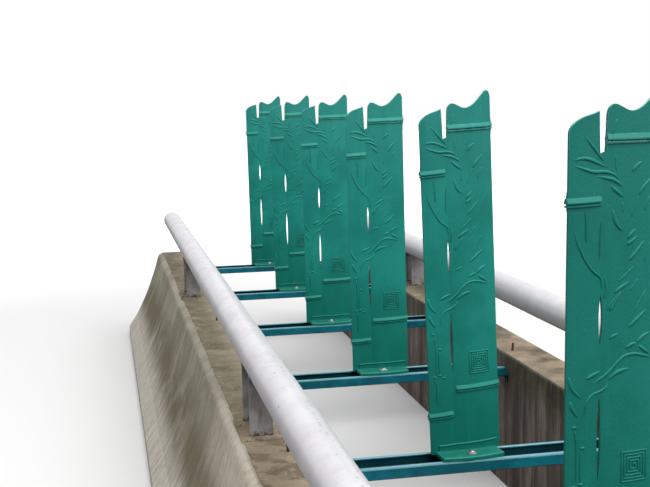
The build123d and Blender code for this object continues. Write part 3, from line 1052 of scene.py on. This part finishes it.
@dataclass
class RodStubs:
    """Cut-off bars that stick out of the wall tops."""

    finishes: Finishes
    places: tuple[tuple[float, float, float], ...] = (
        (-507.0, -1332.0, 31.0),
        (-507.0, 476.0, 26.0),
        (500.0, -389.0, 31.0),
    )
    radius: float = 4.0
    sunk: float = 20.0
    lean: float = 5.0
    sides: int = 12
    rings: int = 18
    rib: float = 0.12
    rough: Range = (0.88, 1.12)
    torn: Range = (-1.6, 1.6)
    torn_seed: int = 5

    def build(self) -> None:
        """Build each stub as a ribbed bar with a rough cut end."""
        for number, (x, y, height) in enumerate(self.places, start=1):
            length = self.sunk + height
            rod = bar(self.sides, self.radius, length, self.rings)
            for vert in rod.verts:
                thick = 1.0 + self.rib * max(math.sin(vert.co.z * 0.9), 0.0)
                thick *= scatter(number, *self.rough, vert.co * 0.35)
                vert.co.x *= thick
                vert.co.y *= thick
                if vert.co.z > length * 0.45:
                    vert.co.z += scatter(number + self.torn_seed, *self.torn, vert.co * 0.3)
            tilt = Matrix.Rotation(math.radians(self.lean), 4, Vector((1.0, number - 2.0, 0.0)))
            place = Matrix.Translation((x, y, SECTION.wall_height + height - length / 2)) @ tilt
            add_piece(f"rod_stub_{number}", rod, self.finishes.rust, place)


# Rails and posts


@dataclass
class PipeRail:
    """One painted pipe rail, lumpy as old pipe is, in place of the plain tube."""

    finishes: Finishes
    side: Side
    sides: int = 56
    rings: int = 209
    lump: float = 0.55
    seed: int = 21
    end_reach: float = 0.01

    def build(self) -> None:
        """Build the pipe with its lumps and join its bore to it at both ends."""
        length = SECTION.length
        pipe = bar(self.sides, SECTION.rail_radius, length, self.rings, "Y", closed=False)
        seed = self.side.value + self.seed
        for vert in pipe.verts:
            x, y, z = vert.co
            inward = scatter(seed, 0.0, self.lump, (x * 0.02, y * 0.013, z * 0.02))
            inward += scatter(seed + 1, 0.0, self.lump / 2, (x * 0.05, y * 0.045, z * 0.05))
            vert.co.x *= 1.0 - inward / SECTION.rail_radius
            vert.co.z *= 1.0 - inward / SECTION.rail_radius
        bore = bar(self.sides, SECTION.rail_radius - SECTION.rail_wall, length, along="Y", closed=False)
        add_solid(pipe, bore)
        for end in (-length / 2, length / 2):
            rims = [edge for edge in pipe.edges
                    if all(abs(vert.co.y - end) < self.end_reach for vert in edge.verts)]
            bmesh.ops.bridge_loops(pipe, edges=rims)
        place = Matrix.Translation((self.side.value * SECTION.rail_x, 0.0, SECTION.rail_z))
        piece = add_piece(f"{self.side.word}_pipe", pipe, self.finishes.rail, place)
        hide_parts(f"{self.side.word}_rail")


@dataclass
class RailPost:
    """One I-section post with its welds, its mortar fillet and the crumbs round its foot."""

    finishes: Finishes
    side: Side
    post: int
    flange_width: float = 66.0
    depth: float = 160.0
    flange: float = 9.0
    web: float = 6.0
    bead: float = 3.4
    bead_sides: int = 8
    bead_steps: int = 40
    web_rings: int = 90
    bead_gap: float = 0.4
    bead_inset: float = 0.5
    bead_rough: Range = (0.85, 1.15)
    bead_seed: int = 31
    ripple_pitch: float = 4.5
    ripple_depth: float = 0.14
    fillet_reach: float = 26.0
    fillet_rise: float = 3.5
    fillet_skin: float = 4.0
    fillet_sunk: float = 1.2
    fillet_seed: int = 41
    cell: float = 3.5
    crumbs: int = 26
    crumb_size: Range = (1.2, 4.2)
    crumb_wear: Range = (0.65, 1.15)
    crumb_seed: int = 100

    @property
    def name(self) -> str:
        """Side and number of the post."""
        return f"{self.side.word}_{self.post + 1}"

    @property
    def foot(self) -> Matrix:
        """Place of the post on the wall's top."""
        x = self.side.value * SECTION.post_x
        return Matrix.Translation((x, SECTION.post_y(self.post), SECTION.wall_height))

    @property
    def pipe_offset(self) -> float:
        """X of the pipe's axis from the middle of the post."""
        return self.side.value * (SECTION.rail_x - SECTION.post_x)

    def ripple(self, length: float) -> float:
        """Swell of a weld bead at a length along it."""
        return 1.0 + self.ripple_depth * math.sin(length * 2 * math.pi / self.ripple_pitch)

    def arc_bead(self) -> Mesh:
        """Weld bead under the pipe along one flange, about the pipe's axis."""
        bead = bmesh.new()
        radius = SECTION.rail_radius + self.bead_gap
        reach = self.flange_width / 2 - self.bead_inset
        first = math.asin((-reach - self.pipe_offset) / radius)
        last = math.asin((reach - self.pipe_offset) / radius)
        bmesh.ops.create_circle(bead, cap_ends=True, segments=self.bead_sides, radius=self.bead)
        bmesh.ops.rotate(bead, matrix=Matrix.Rotation(math.pi / 2, 3, "Y"), verts=bead.verts)
        bmesh.ops.translate(bead, vec=(0.0, 0.0, -radius), verts=bead.verts)
        bmesh.ops.rotate(bead, matrix=Matrix.Rotation(-first, 3, "Y"), verts=bead.verts)
        bmesh.ops.spin(bead, geom=bead.verts[:] + bead.edges[:] + bead.faces[:], cent=(0, 0, 0),
                       axis=(0, -1, 0), angle=last - first, steps=self.bead_steps)
        for vert in bead.verts:
            turn = math.atan2(vert.co.x, -vert.co.z)
            middle = Vector((math.sin(turn), 0.0, -math.cos(turn))) * radius
            rough = scatter(self.post + self.bead_seed, *self.bead_rough, vert.co * 0.2)
            vert.co = middle + (vert.co - middle) * self.ripple(turn * radius) * rough
        return bead

    def web_bead(self) -> Mesh:
        """Weld bead along one side of the web, along Y."""
        bead = bar(self.bead_sides, self.bead, self.depth - 2 * self.flange, self.web_rings, "Y")
        for vert in bead.verts:
            vert.co.x *= self.ripple(vert.co.y)
            vert.co.z *= self.ripple(vert.co.y)
        return bead

    def welds(self) -> None:
        """Weld the pipe to both flanges and both sides of the web."""
        seams = bmesh.new()
        pipe_middle = Vector((self.pipe_offset, 0.0, SECTION.rail_z - SECTION.wall_height))
        half = self.depth / 2
        for face_y in (-half, self.flange - half, half - self.flange, half):
            add_solid(seams, self.arc_bead(), Matrix.Translation(pipe_middle + Vector((0.0, face_y, 0.0))))
        for side in Side:
            across = side.value * self.web / 2 - self.pipe_offset
            drop = math.sqrt(SECTION.rail_radius ** 2 - across ** 2)
            add_solid(seams, self.web_bead(), Matrix.Translation(pipe_middle + Vector((across, 0.0, -drop))))
        add_piece(f"post_weld_{self.name}", seams, self.finishes.post, self.foot, 70.0)

    def outside(self, x: float, y: float) -> float:
        """Distance of a point from the I-section, in plan.

        Args:
            x: X of the point from the middle of the post.
            y: Y of the point from there.

        Returns:
            The distance, zero inside.
        """
        beyond_flange = max(abs(abs(y) - (self.depth - self.flange) / 2) - self.flange / 2, 0.0)
        from_flange = math.hypot(max(abs(x) - self.flange_width / 2, 0.0), beyond_flange)
        from_web = math.hypot(max(abs(x) - self.web / 2, 0.0), max(abs(y) - self.depth / 2, 0.0))
        return min(from_flange, from_web)

    def foot_fillet(self) -> None:
        """Rough mortar and rust scale heaped against the post's foot."""
        reach = self.fillet_reach
        heap = sheet(self.flange_width + 2 * reach, self.depth + 2 * reach, self.cell)
        for vert in heap.verts:
            x, y = vert.co.x, vert.co.y
            fade = max(1.0 - self.outside(x, y) / reach, 0.0)
            rough = scatter(self.post + self.fillet_seed, 0.1, 1.5, (x * 0.11, y * 0.11, self.side.value))
            vert.co.z = self.fillet_rise * rough * fade ** 2 + 5.0 * min(fade, 0.35) - self.fillet_sunk
        thicken(heap, self.fillet_skin)
        add_piece(f"foot_mortar_{self.name}", heap, self.finishes.mortar, self.foot, 60.0)

    def foot_crumbs(self) -> None:
        """Flakes of rust and mortar that lie round the foot."""
        dice = random.Random(self.crumb_seed + self.post + 10 * self.side.value)
        litter = bmesh.new()
        flat = Matrix.Diagonal((1.0, 1.0, 0.6, 1.0))
        for number in range(self.crumbs):
            crumb = bmesh.new()
            size = dice.uniform(*self.crumb_size)
            bmesh.ops.create_icosphere(crumb, subdivisions=1, radius=size)
            for vert in crumb.verts:
                vert.co *= dice.uniform(*self.crumb_wear)
            along = dice.uniform(-1.0, 1.0) * (self.depth / 2 + self.fillet_reach)
            across = dice.uniform(-1.0, 1.0) * (self.flange_width / 2 + self.fillet_reach * 0.8)
            if self.outside(across, along) < 2.0:
                along = math.copysign(self.depth / 2 + 6.0 + number * 0.6, along)
            turn = Matrix.Rotation(dice.uniform(0.0, math.pi), 4, "Z")
            lying = Matrix.Translation((across, along, 2.4 + size * 0.25))
            add_solid(litter, crumb, lying @ turn @ flat)
        add_piece(f"foot_flakes_{self.name}", litter, self.finishes.rust, self.foot, 20.0)

    def build(self) -> None:
        """Dress the post and build what belongs to it."""
        dress(f"{self.side.word}_rail_post_{self.post + 1}", self.finishes.post)
        self.welds()
        self.foot_fillet()
        self.foot_crumbs()


# Beams and their fixings


@dataclass(frozen=True)
class HexBolt:
    """Hexagon bolt with washers and a nut, its grip below height zero."""

    across_flats: float = 16.0
    head: float = 6.4
    nut: float = 8.0
    washer_radius: float = 10.5
    washer: float = 1.8
    shank_radius: float = 4.9
    tail: float = 5.0
    rim: float = 0.8
    soft_rim: float = 0.4
    washer_sides: int = 28
    shank_sides: int = 20
    nut_turn: float = 0.4

    def hexagon(self, height: float, base: float) -> Mesh:
        """Head or nut of some height on its base."""
        return prism(6, self.across_flats / math.sqrt(3), height, self.rim, base)

    def shank(self, length: float) -> Mesh:
        """Shank down from height zero."""
        return prism(self.shank_sides, self.shank_radius, length, self.soft_rim, -length)

    def build(self, grip: float, with_nut: bool) -> Mesh:
        """Build the bolt.

        Args:
            grip: Thickness that it holds.
            with_nut: Whether its nut shows below the grip.

        Returns:
            The bolt, its head above height zero.
        """
        washer = (self.washer_sides, self.washer_radius, self.washer, self.soft_rim)
        bolt = prism(*washer)
        add_solid(bolt, self.hexagon(self.head, self.washer))
        add_solid(bolt, self.shank(grip + (self.washer + self.nut + self.tail if with_nut else 0.0)))
        if with_nut:
            under = -grip - self.washer
            add_solid(bolt, prism(*washer, under))
            turned = Matrix.Rotation(self.nut_turn, 4, "Z")
            add_solid(bolt, self.hexagon(self.nut, under - self.nut), turned)
        return bolt


@dataclass
class CrossBeam:
    """One channel beam with its cleats, their bolts and the anchors into the walls."""

    finishes: Finishes
    bay: int
    cleat_sheet: float = 5.0
    bolt_inset: float = 20.0
    anchor_drop: float = 18.0
    anchor_depth: float = 40.0

    def fixings(self) -> None:
        """Bolt both ends of the beam to their cleats and anchor the cleats."""
        bolts = bmesh.new()
        anchors = bmesh.new()
        grip = SECTION.beam_sheet + self.cleat_sheet
        beam_y = SECTION.beam_y(self.bay)
        for side in Side:
            turn = Matrix.Rotation(0.3 * self.bay + side.value, 4, "Z")
            x = side.value * (SECTION.half_gap - self.bolt_inset)
            web_top = Matrix.Translation((x, beam_y, SECTION.beam_bottom + SECTION.beam_sheet))
            add_solid(bolts, HexBolt().build(grip, True), web_top @ turn)
            x = side.value * (SECTION.half_gap - self.cleat_sheet)
            leg_face = Matrix.Translation((x, beam_y, SECTION.beam_bottom - self.anchor_drop))
            outward = Matrix.Rotation(-side.value * math.pi / 2, 4, "Y")
            add_solid(anchors, HexBolt().build(self.anchor_depth, False), leg_face @ outward @ turn)
        add_piece(f"beam_bolts_{self.bay + 1}", bolts, self.finishes.zinc, sharp_from=30.0)
        add_piece(f"wall_anchors_{self.bay + 1}", anchors, self.finishes.zinc, sharp_from=30.0)

    def build(self) -> None:
        """Dress the beam and its cleats and add the fixings."""
        for node in ("cross_beam", "near_cleat", "far_cleat"):
            dress(f"{node}_{self.bay + 1}", self.finishes.beam)
        self.fixings()


# Panels


@dataclass(frozen=True)
class PanelPlace:
    """How one panel stands on its beam: its shift in millimetres, and turn and lean in degrees."""

    shift: float
    turn: float
    lean: float


PANEL_PLACES = (
    PanelPlace(-9.0, 5.0, 0.0),
    PanelPlace(-6.0, 5.0, 2.0),
    PanelPlace(-7.0, 1.0, 0.9),
    PanelPlace(-8.0, 2.0, 0.5),
    PanelPlace(-7.0, -1.0, 0.8),
    PanelPlace(-10.0, 1.0, 0.7),
)


@dataclass(frozen=True)
class BladeForm:
    """Front line of the moulded sheet, seen from above, and how a panel is placed."""

    left: float = -106.0
    split: float = -31.0
    right: float = 111.0
    edge_y: float = 27.0
    valley_y: float = 20.5
    narrow_crown: float = 4.0
    wide_crown: float = 8.0
    sheet: float = 6.0
    foot_height: float = 12.0
    bolt_forward: float = 22.0

    def front(self, x: float) -> float:
        """Y of the sheet's front face.

        Args:
            x: Place across the panel.

        Returns:
            The Y there.
        """
        if x < self.split:
            share = (self.split - x) / (self.split - self.left)
            crown = self.narrow_crown
        else:
            share = (x - self.split) / (self.right - self.split)
            crown = self.wide_crown
        chord = self.valley_y + (self.edge_y - self.valley_y) * share
        return chord - 4 * crown * share * (1 - share)

    def bend(self, flat: Mesh, behind: float) -> Mesh:
        """Bend a mesh along the front face.

        Args:
            flat: The mesh, made about a flat sheet.
            behind: How far its middle comes behind the front face.

        Returns:
            The same mesh.
        """
        for vert in flat.verts:
            vert.co.y += self.front(vert.co.x) + behind
        return flat

    def foot_place(self, bay: int) -> Matrix:
        """Place of a panel's foot, turned about its bolt.

        Args:
            bay: The panel's bay, counted from zero.

        Returns:
            The place, in millimetres.
        """
        place = PANEL_PLACES[bay]
        bolt = Matrix.Translation((0.0, -self.bolt_forward, 0.0))
        turn = Matrix.Rotation(math.radians(place.turn), 4, "Z")
        stand = Matrix.Translation((place.shift, SECTION.beam_y(bay), SECTION.lip_top))
        return stand @ bolt @ turn @ bolt.inverted()

    def blade_place(self, bay: int) -> Matrix:
        """Place of a panel's leaning blade."""
        lean = Matrix.Rotation(-math.radians(PANEL_PLACES[bay].lean), 4, "Y")
        return self.foot_place(bay) @ lean


BLADE = BladeForm()


@dataclass(frozen=True)
class Stroke:
    """One raised line of the bamboo relief, from its root to its tip, in the panel's front view."""

    kind: StrokeKind
    points: tuple[Point, ...]
    width: float
    proud: float = 2.4

    def middle_line(self, steps: int) -> list[Vector]:
        """Points along a smooth curve through the stroke's points.

        Args:
            steps: Number of stations.

        Returns:
            The stations, in the front view.
        """
        flat = [Vector((x, 0.0, z)) for x, z in self.points]
        padded = [flat[0] * 2 - flat[1], *flat, flat[-1] * 2 - flat[-2]]
        spans = len(flat) - 1
        line = []
        for step in range(steps):
            reach = step / (steps - 1) * spans
            span = min(int(reach), spans - 1)
            share = reach - span
            before, start, end, after = padded[span:span + 4]
            line.append(0.5 * (2 * start + (end - before) * share
                               + (2 * before - 5 * start + 4 * end - after) * share ** 2
                               + (3 * start - before - 3 * end + after) * share ** 3))
        return line

    def swell(self, share: float) -> float:
        """Width along the stroke, as a share of its full width.

        Args:
            share: Place from the root at zero to the tip at one.

        Returns:
            The share.
        """
        if self.kind is StrokeKind.LEAF:
            return 0.15 + 0.85 * math.sin(math.pi * min(share ** 0.85, 1.0)) ** 0.6
        return 0.25 + 0.75 * min(min(share, 1.0 - share) / 0.14, 1.0) ** 0.6


def leaf(*points: Point, width: float = 10.0) -> Stroke:
    """A raised bamboo leaf through the given points."""
    return Stroke(StrokeKind.LEAF, points, width)


def twig(*points: Point, width: float = 5.5) -> Stroke:
    """A raised twig through the given points."""
    return Stroke(StrokeKind.TWIG, points, width)


def faint(*points: Point) -> Stroke:
    """A low, soft line through the given points."""
    return Stroke(StrokeKind.TWIG, points, 6.0, 1.1)


def bud(x: float, z: float) -> Stroke:
    """A short raised knot on a twig."""
    return twig((x - 4.5, z), (x + 4.5, z + 1.0), width=6.5)


@dataclass(frozen=True)
class BambooRelief:
    """The raised leaves and twigs moulded into both faces of a panel."""

    sides: int = 10
    stations: int = 12
    sunk: float = 0.6
    strokes: tuple[Stroke, ...] = (
        leaf((-26, 853), (-50, 880), (-71, 906), width=7.0),
        leaf((-22, 843), (-44, 854), (-62, 861), (-78, 862), (-92, 857)),
        leaf((-92, 850), (-72, 843), (-50, 836), (-27, 836), (-8, 830), (3, 819)),
        leaf((10, 807), (-7, 819), (-22, 824), (-45, 828)),
        leaf((-15, 810), (-2, 798), (13, 786)),
        leaf((-10, 765), (-5, 744), (2, 731), (13, 721)),
        leaf((28, 834), (41, 847), (52, 854)),
        leaf((44, 788), (57, 806), (77, 824)),
        leaf((24, 663), (43, 682), (61, 703)),
        leaf((20, 695), (30, 701), (43, 711)),
        leaf((21, 706), (30, 716), (40, 726)),
        leaf((-5, 603), (10, 613), (28, 624)),
        leaf((-25, 592), (-20, 616), (-25, 639), width=8.0),
        leaf((26, 533), (47, 550), (69, 567)),
        leaf((-13, 514), (-4, 519), (7, 524), width=8.0),
        leaf((21, 493), (35, 500), (48, 502), width=9.0),
        leaf((46, 502), (60, 513), (79, 522)),
        leaf((51, 497), (64, 487), (79, 477)),
        leaf((-15, 433), (2, 445), (14, 450), (33, 453), width=12.0),
        leaf((-62, 437), (-45, 445), (-27, 451)),
        leaf((-95, 445), (-89, 421), (-70, 399)),
        leaf((-92, 396), (-88, 381), (-75, 361)),
        twig((-67, 766), (-65, 733), (-64, 702), width=4.5),
        twig((-32, 746), (-34, 712), (-35, 668), width=4.5),
        twig((-89, 728), (-80, 699), (-66, 670), (-50, 648), (-31, 633), (-30, 610)),
        twig((-13, 568), (-2, 586), (11, 605)),
        twig((-46, 427), (-26, 438), (-11, 450), (5, 467), (21, 479), (41, 481), (60, 477), (84, 468),
             width=7.5),
        twig((-12, 430), (-18, 418), (-30, 411), (-47, 406), (-57, 395), (-61, 383), (-64, 362), width=6.5),
        twig((-83, 338), (-79, 316), (-78, 270), (-79, 232), width=5.0),
        twig((-69, 298), (-70, 265), (-70, 232), width=5.0),
        twig((-84, 216), (-79, 202), (-79, 140), width=5.0),
        faint((-4, 935), (-10, 919), (-14, 904)),
        faint((-6, 868), (-5, 853), (-4, 838)),
        faint((46, 790), (38, 774), (27, 745)),
        faint((9, 778), (11, 768), (11, 757)),
        faint((29, 606), (37, 616), (46, 629)),
        faint((38, 563), (52, 584), (66, 606)),
        faint((-18, 571), (-4, 590), (13, 608)),
        faint((60, 655), (70, 690), (88, 720)),
        faint((59, 758), (64, 776), (76, 790)),
        faint((3, 624), (20, 638), (38, 654)),
        bud(-83, 343),
        bud(-66, 301),
        bud(-83, 224),
        bud(-69, 228),
        bud(-58, 220),
    )

    def ridge(self, stroke: Stroke) -> Mesh:
        """Sweep a flattened ring along one stroke.

        Args:
            stroke: The stroke.

        Returns:
            A closed ridge that stands proud of both faces of a flat sheet at Y zero.
        """
        line = stroke.middle_line(self.stations)
        ridge = bmesh.new()
        bmesh.ops.create_circle(ridge, cap_ends=True, segments=self.sides, radius=1.0)
        rim = ridge.edges[:]
        moved = ridge.verts[:]
        before = UNMOVED
        for station, middle in enumerate(line):
            if station:
                made = bmesh.ops.extrude_edge_only(ridge, edges=rim)["geom"]
                moved = [item for item in made if isinstance(item, bmesh.types.BMVert)]
                rim = [item for item in made if isinstance(item, bmesh.types.BMEdge)]
            ahead = line[min(station + 1, len(line) - 1)] - line[max(station - 1, 0)]
            swell = stroke.swell(station / (len(line) - 1))
            half_depth = (BLADE.sheet / 2 - self.sunk) + (stroke.proud + self.sunk) * swell
            along = ahead.normalized()
            across = along.cross(THROUGH).normalized()
            turn = Matrix((across, THROUGH, along)).transposed().to_4x4()
            shape = Matrix.Diagonal((stroke.width / 2 * swell, half_depth, 1.0, 1.0))
            now = Matrix.Translation(middle) @ turn @ shape
            bmesh.ops.transform(ridge, matrix=now @ before.inverted(), verts=moved)
            before = now
        bmesh.ops.contextual_create(ridge, geom=rim)
        return ridge

    def build(self) -> Mesh:
        """Build all the strokes, bent to the blade's front line."""
        relief = bmesh.new()
        for stroke in self.strokes:
            add_solid(relief, self.ridge(stroke))
        return BLADE.bend(relief, BLADE.sheet / 2)


@dataclass(frozen=True)
class SquareOrnament:
    """Raised square frame low on the panel, filled with a plain squared spiral."""

    left: float = 18.5
    right: float = 75.0
    bottom: float = 225.0
    top: float = 285.0
    bar: float = 2.8
    rim: float = 0.8
    proud: float = 1.9
    pitch: float = 6.3
    turns: int = 4
    rings: int = 5

    def bar_between(self, start: Point, end: Point) -> Mesh:
        """Raised bar between two points of the front view, with bevelled rims.

        Args:
            start: One end.
            end: The other end.

        Returns:
            The bar, against a flat sheet at Y zero.
        """
        solid = bmesh.new()
        bmesh.ops.create_cube(solid, size=1.0)
        span_x = abs(end[0] - start[0]) + self.bar
        span_z = abs(end[1] - start[1]) + self.bar
        bmesh.ops.scale(solid, vec=(span_x, BLADE.sheet + 2 * self.proud, span_z), verts=solid.verts)
        bmesh.ops.bevel(solid, geom=solid.edges[:], offset=self.rim, affect="EDGES", segments=2, profile=0.5,
                        material=-1)
        if span_x > 2 * self.bar:
            runs = [edge for edge in solid.edges if abs(edge.verts[0].co.x - edge.verts[1].co.x) > span_x / 2]
            bmesh.ops.subdivide_edges(solid, edges=runs, cuts=self.rings)
        middle = Vector(((start[0] + end[0]) / 2, 0.0, (start[1] + end[1]) / 2))
        bmesh.ops.translate(solid, vec=middle, verts=solid.verts)
        return solid

    def build(self) -> Mesh:
        """Build the frame and the spiral, bent to the blade."""
        pattern = bmesh.new()
        corners = [(self.left, self.bottom), (self.right, self.bottom), (self.right, self.top),
                   (self.left, self.top)]
        for start, end in zip(corners, corners[1:] + corners[:1]):
            add_solid(pattern, self.bar_between(start, end))
        point = (self.left + self.pitch, self.bottom + self.pitch)
        for turn in range(self.turns):
            inset = self.pitch * (turn + 1)
            left, right = self.left + inset, self.right - inset
            bottom, top = self.bottom + inset, self.top - inset
            for end in ((right, bottom), (right, top), (left, top), (left, bottom + self.pitch)):
                if math.dist(point, end) > self.bar:
                    add_solid(pattern, self.bar_between(point, end))
                point = end
        return BLADE.bend(pattern, BLADE.sheet / 2)


@dataclass(frozen=True)
class BandRim:
    """Rounded rim along the top of the base band, on the panel's front."""

    left: float = -79.0
    right: float = 93.0
    height: float = 29.2
    radius: float = 2.7
    proud: float = 3.0
    sides: int = 12
    rings: int = 24

    def build(self) -> Mesh:
        """Build the rim as a round bar, bent to the blade."""
        rim = bar(self.sides, self.radius, self.right - self.left, self.rings, "X")
        bmesh.ops.translate(rim, vec=((self.left + self.right) / 2, 0.0, self.height), verts=rim.verts)
        return BLADE.bend(rim, -self.proud)


@dataclass(frozen=True)
class FootBolt:
    """Domed bolt with its washer on a panel's foot, and its nut under the clamp plate."""

    washer_radius: float = 13.0
    washer: float = 2.2
    washer_rim: float = 0.6
    washer_sides: int = 32
    dome_radius: float = 9.0
    dome_height: float = 6.4
    dome_steps: int = 7
    dome_sides: int = 28
    grip: float = 21.0

    def dome(self) -> Mesh:
        """Spin a quarter of an oval into the head."""
        solid = bmesh.new()
        points = [solid.verts.new(ORIGIN)]
        for step in range(self.dome_steps + 1):
            angle = math.pi / 2 * step / self.dome_steps
            radius = self.dome_radius * math.cos(angle)
            points.append(solid.verts.new((radius, 0.0, self.dome_height * math.sin(angle))))
        edges = [solid.edges.new(pair) for pair in zip(points, points[1:])]
        bmesh.ops.spin(solid, geom=points + edges, cent=ORIGIN, axis=UP, angle=2 * math.pi,
                       steps=self.dome_sides, use_merge=True)
        bmesh.ops.remove_doubles(solid, verts=solid.verts, dist=1e-6)
        return solid

    def build(self) -> Mesh:
        """Build the bolt, with the foot's top at height zero."""
        hidden = HexBolt()
        bolt = prism(self.washer_sides, self.washer_radius, self.washer, self.washer_rim)
        add_solid(bolt, self.dome(), Matrix.Translation((0, 0, self.washer)))
        add_solid(bolt, hidden.shank(self.grip + hidden.nut + hidden.tail))
        add_solid(bolt, hidden.hexagon(hidden.nut, -self.grip - hidden.nut))
        return bolt


@dataclass
class ScreenPanel:
    """One moulded panel with its raised mouldings, foot bolt and clamp plate."""

    finishes: Finishes
    mouldings: dict[str, Mesh]
    bay: int

    def build(self) -> None:
        """Dress the panel and add what is moulded or bolted on."""
        number = self.bay + 1
        dress(f"screen_panel_{number}", self.finishes.panel)
        dress(f"clamp_plate_{number}", self.finishes.zinc)
        blade = BLADE.blade_place(self.bay)
        for label, mesh in self.mouldings.items():
            add_piece(f"{label}_{number}", mesh.copy(), self.finishes.panel, blade, 75.0)
        on_foot = Matrix.Translation((0.0, -BLADE.bolt_forward, BLADE.foot_height))
        bolt = BLADE.foot_place(self.bay) @ on_foot
        add_piece(f"foot_bolt_{number}", FootBolt().build(), self.finishes.zinc, bolt, 30.0)


# Camera, floor and light


@dataclass(frozen=True)
class PhotoCamera:
    """Camera at the photograph's place, in metres and radians."""

    place: tuple[float, float, float] = (-0.9688, -4.1431, 1.4461)
    yaw: float = 0.2011
    pitch: float = 0.133
    roll: float = 0.017
    lens: float = 60.57
    sensor: float = 36.0
    sight: float = 200.0

    def build(self) -> None:
        """Create the camera and make it the scene's."""
        right = Vector((math.cos(self.yaw), -math.sin(self.yaw), 0.0))
        level = Vector((math.sin(self.yaw), math.cos(self.yaw), 0.0))
        forward = level * math.cos(self.pitch) - UP * math.sin(self.pitch)
        down = forward.cross(right)
        across = right * math.cos(self.roll) + down * math.sin(self.roll)
        drop = down * math.cos(self.roll) - right * math.sin(self.roll)
        data = bpy.data.cameras.new("photo_camera")
        data.sensor_width = self.sensor
        data.sensor_fit = "HORIZONTAL"
        data.lens = self.lens
        data.clip_end = self.sight
        camera = link("photo_camera", data)
        turn = Matrix((across, -drop, -forward)).transposed().to_4x4()
        camera.matrix_world = Matrix.Translation(self.place) @ turn
        bpy.context.scene.camera = camera
        LOG.info("camera at %s", self.place)


@dataclass(frozen=True)
class Studio:
    """Pale floor, white background and soft overcast light, in metres."""

    floor_size: float = 80.0
    floor_height: float = -0.0005
    sky: float = 0.62
    lamp_watts: float = 3500.0
    lamp_size: float = 18.0
    lamp_place: tuple[float, float, float] = (3.5, -8.0, 14.0)
    lamp_aim: tuple[float, float, float] = (0.0, 0.0, 0.5)

    def floor(self) -> None:
        """Lay the floor."""
        flat = bmesh.new()
        bmesh.ops.create_grid(flat, x_segments=1, y_segments=1, size=self.floor_size / 2)
        bmesh.ops.translate(flat, vec=(0.0, 0.0, self.floor_height), verts=flat.verts)
        mesh = bpy.data.meshes.new("floor")
        flat.to_mesh(mesh)
        flat.free()
        mesh.materials.append(PaleFloor().material)
        link("floor", mesh)

    def world(self) -> None:
        """White background for what is seen, plain light for the rest."""
        world = bpy.data.worlds.new("overcast")
        world.use_nodes = True
        wiring = Wiring(world.node_tree)
        path = wiring.add("LightPath")
        seen = wiring.math("ADD", path["Is Camera Ray"], path["Is Glossy Ray"])
        seen = wiring.math("ADD", seen, path["Is Transmission Ray"])
        strength = wiring.span(seen, 0.0, 1.0, self.sky, 1.0)
        wiring.feed(world.node_tree.nodes["Background"], {"Color": WHITE, "Strength": strength})
        bpy.context.scene.world = world

    def lamp(self) -> None:
        """Hang one large soft lamp above."""
        data = bpy.data.lights.new("sky_lamp", "AREA")
        data.shape = "SQUARE"
        data.size = self.lamp_size
        data.energy = self.lamp_watts
        aim = Vector(self.lamp_aim) - Vector(self.lamp_place)
        turn = aim.to_track_quat("-Z", "Y").to_matrix().to_4x4()
        link("sky_lamp", data).matrix_world = Matrix.Translation(self.lamp_place) @ turn

    def build(self) -> None:
        """Set up floor, world, lamp and colour view."""
        self.floor()
        self.world()
        self.lamp()
        bpy.context.scene.view_settings.view_transform = "Standard"


def main() -> None:
    """Build the camera, the studio and every piece of the screen."""
    logging.basicConfig(level=logging.INFO, format="%(message)s")
    PhotoCamera().build()
    Studio().build()
    finishes = Finishes()
    for side in Side:
        ParapetWall(finishes, side).build()
        PipeRail(finishes, side).build()
        for post in range(SECTION.posts):
            RailPost(finishes, side, post).build()
    RodStubs(finishes).build()
    mouldings = {
        "bamboo_relief": BambooRelief().build(),
        "square_ornament": SquareOrnament().build(),
        "band_rim": BandRim().build(),
    }
    for bay in range(SECTION.bays):
        CrossBeam(finishes, bay).build()
        ScreenPanel(finishes, mouldings, bay).build()
    for mesh in mouldings.values():
        mesh.free()


if __name__ == "__main__":
    main()
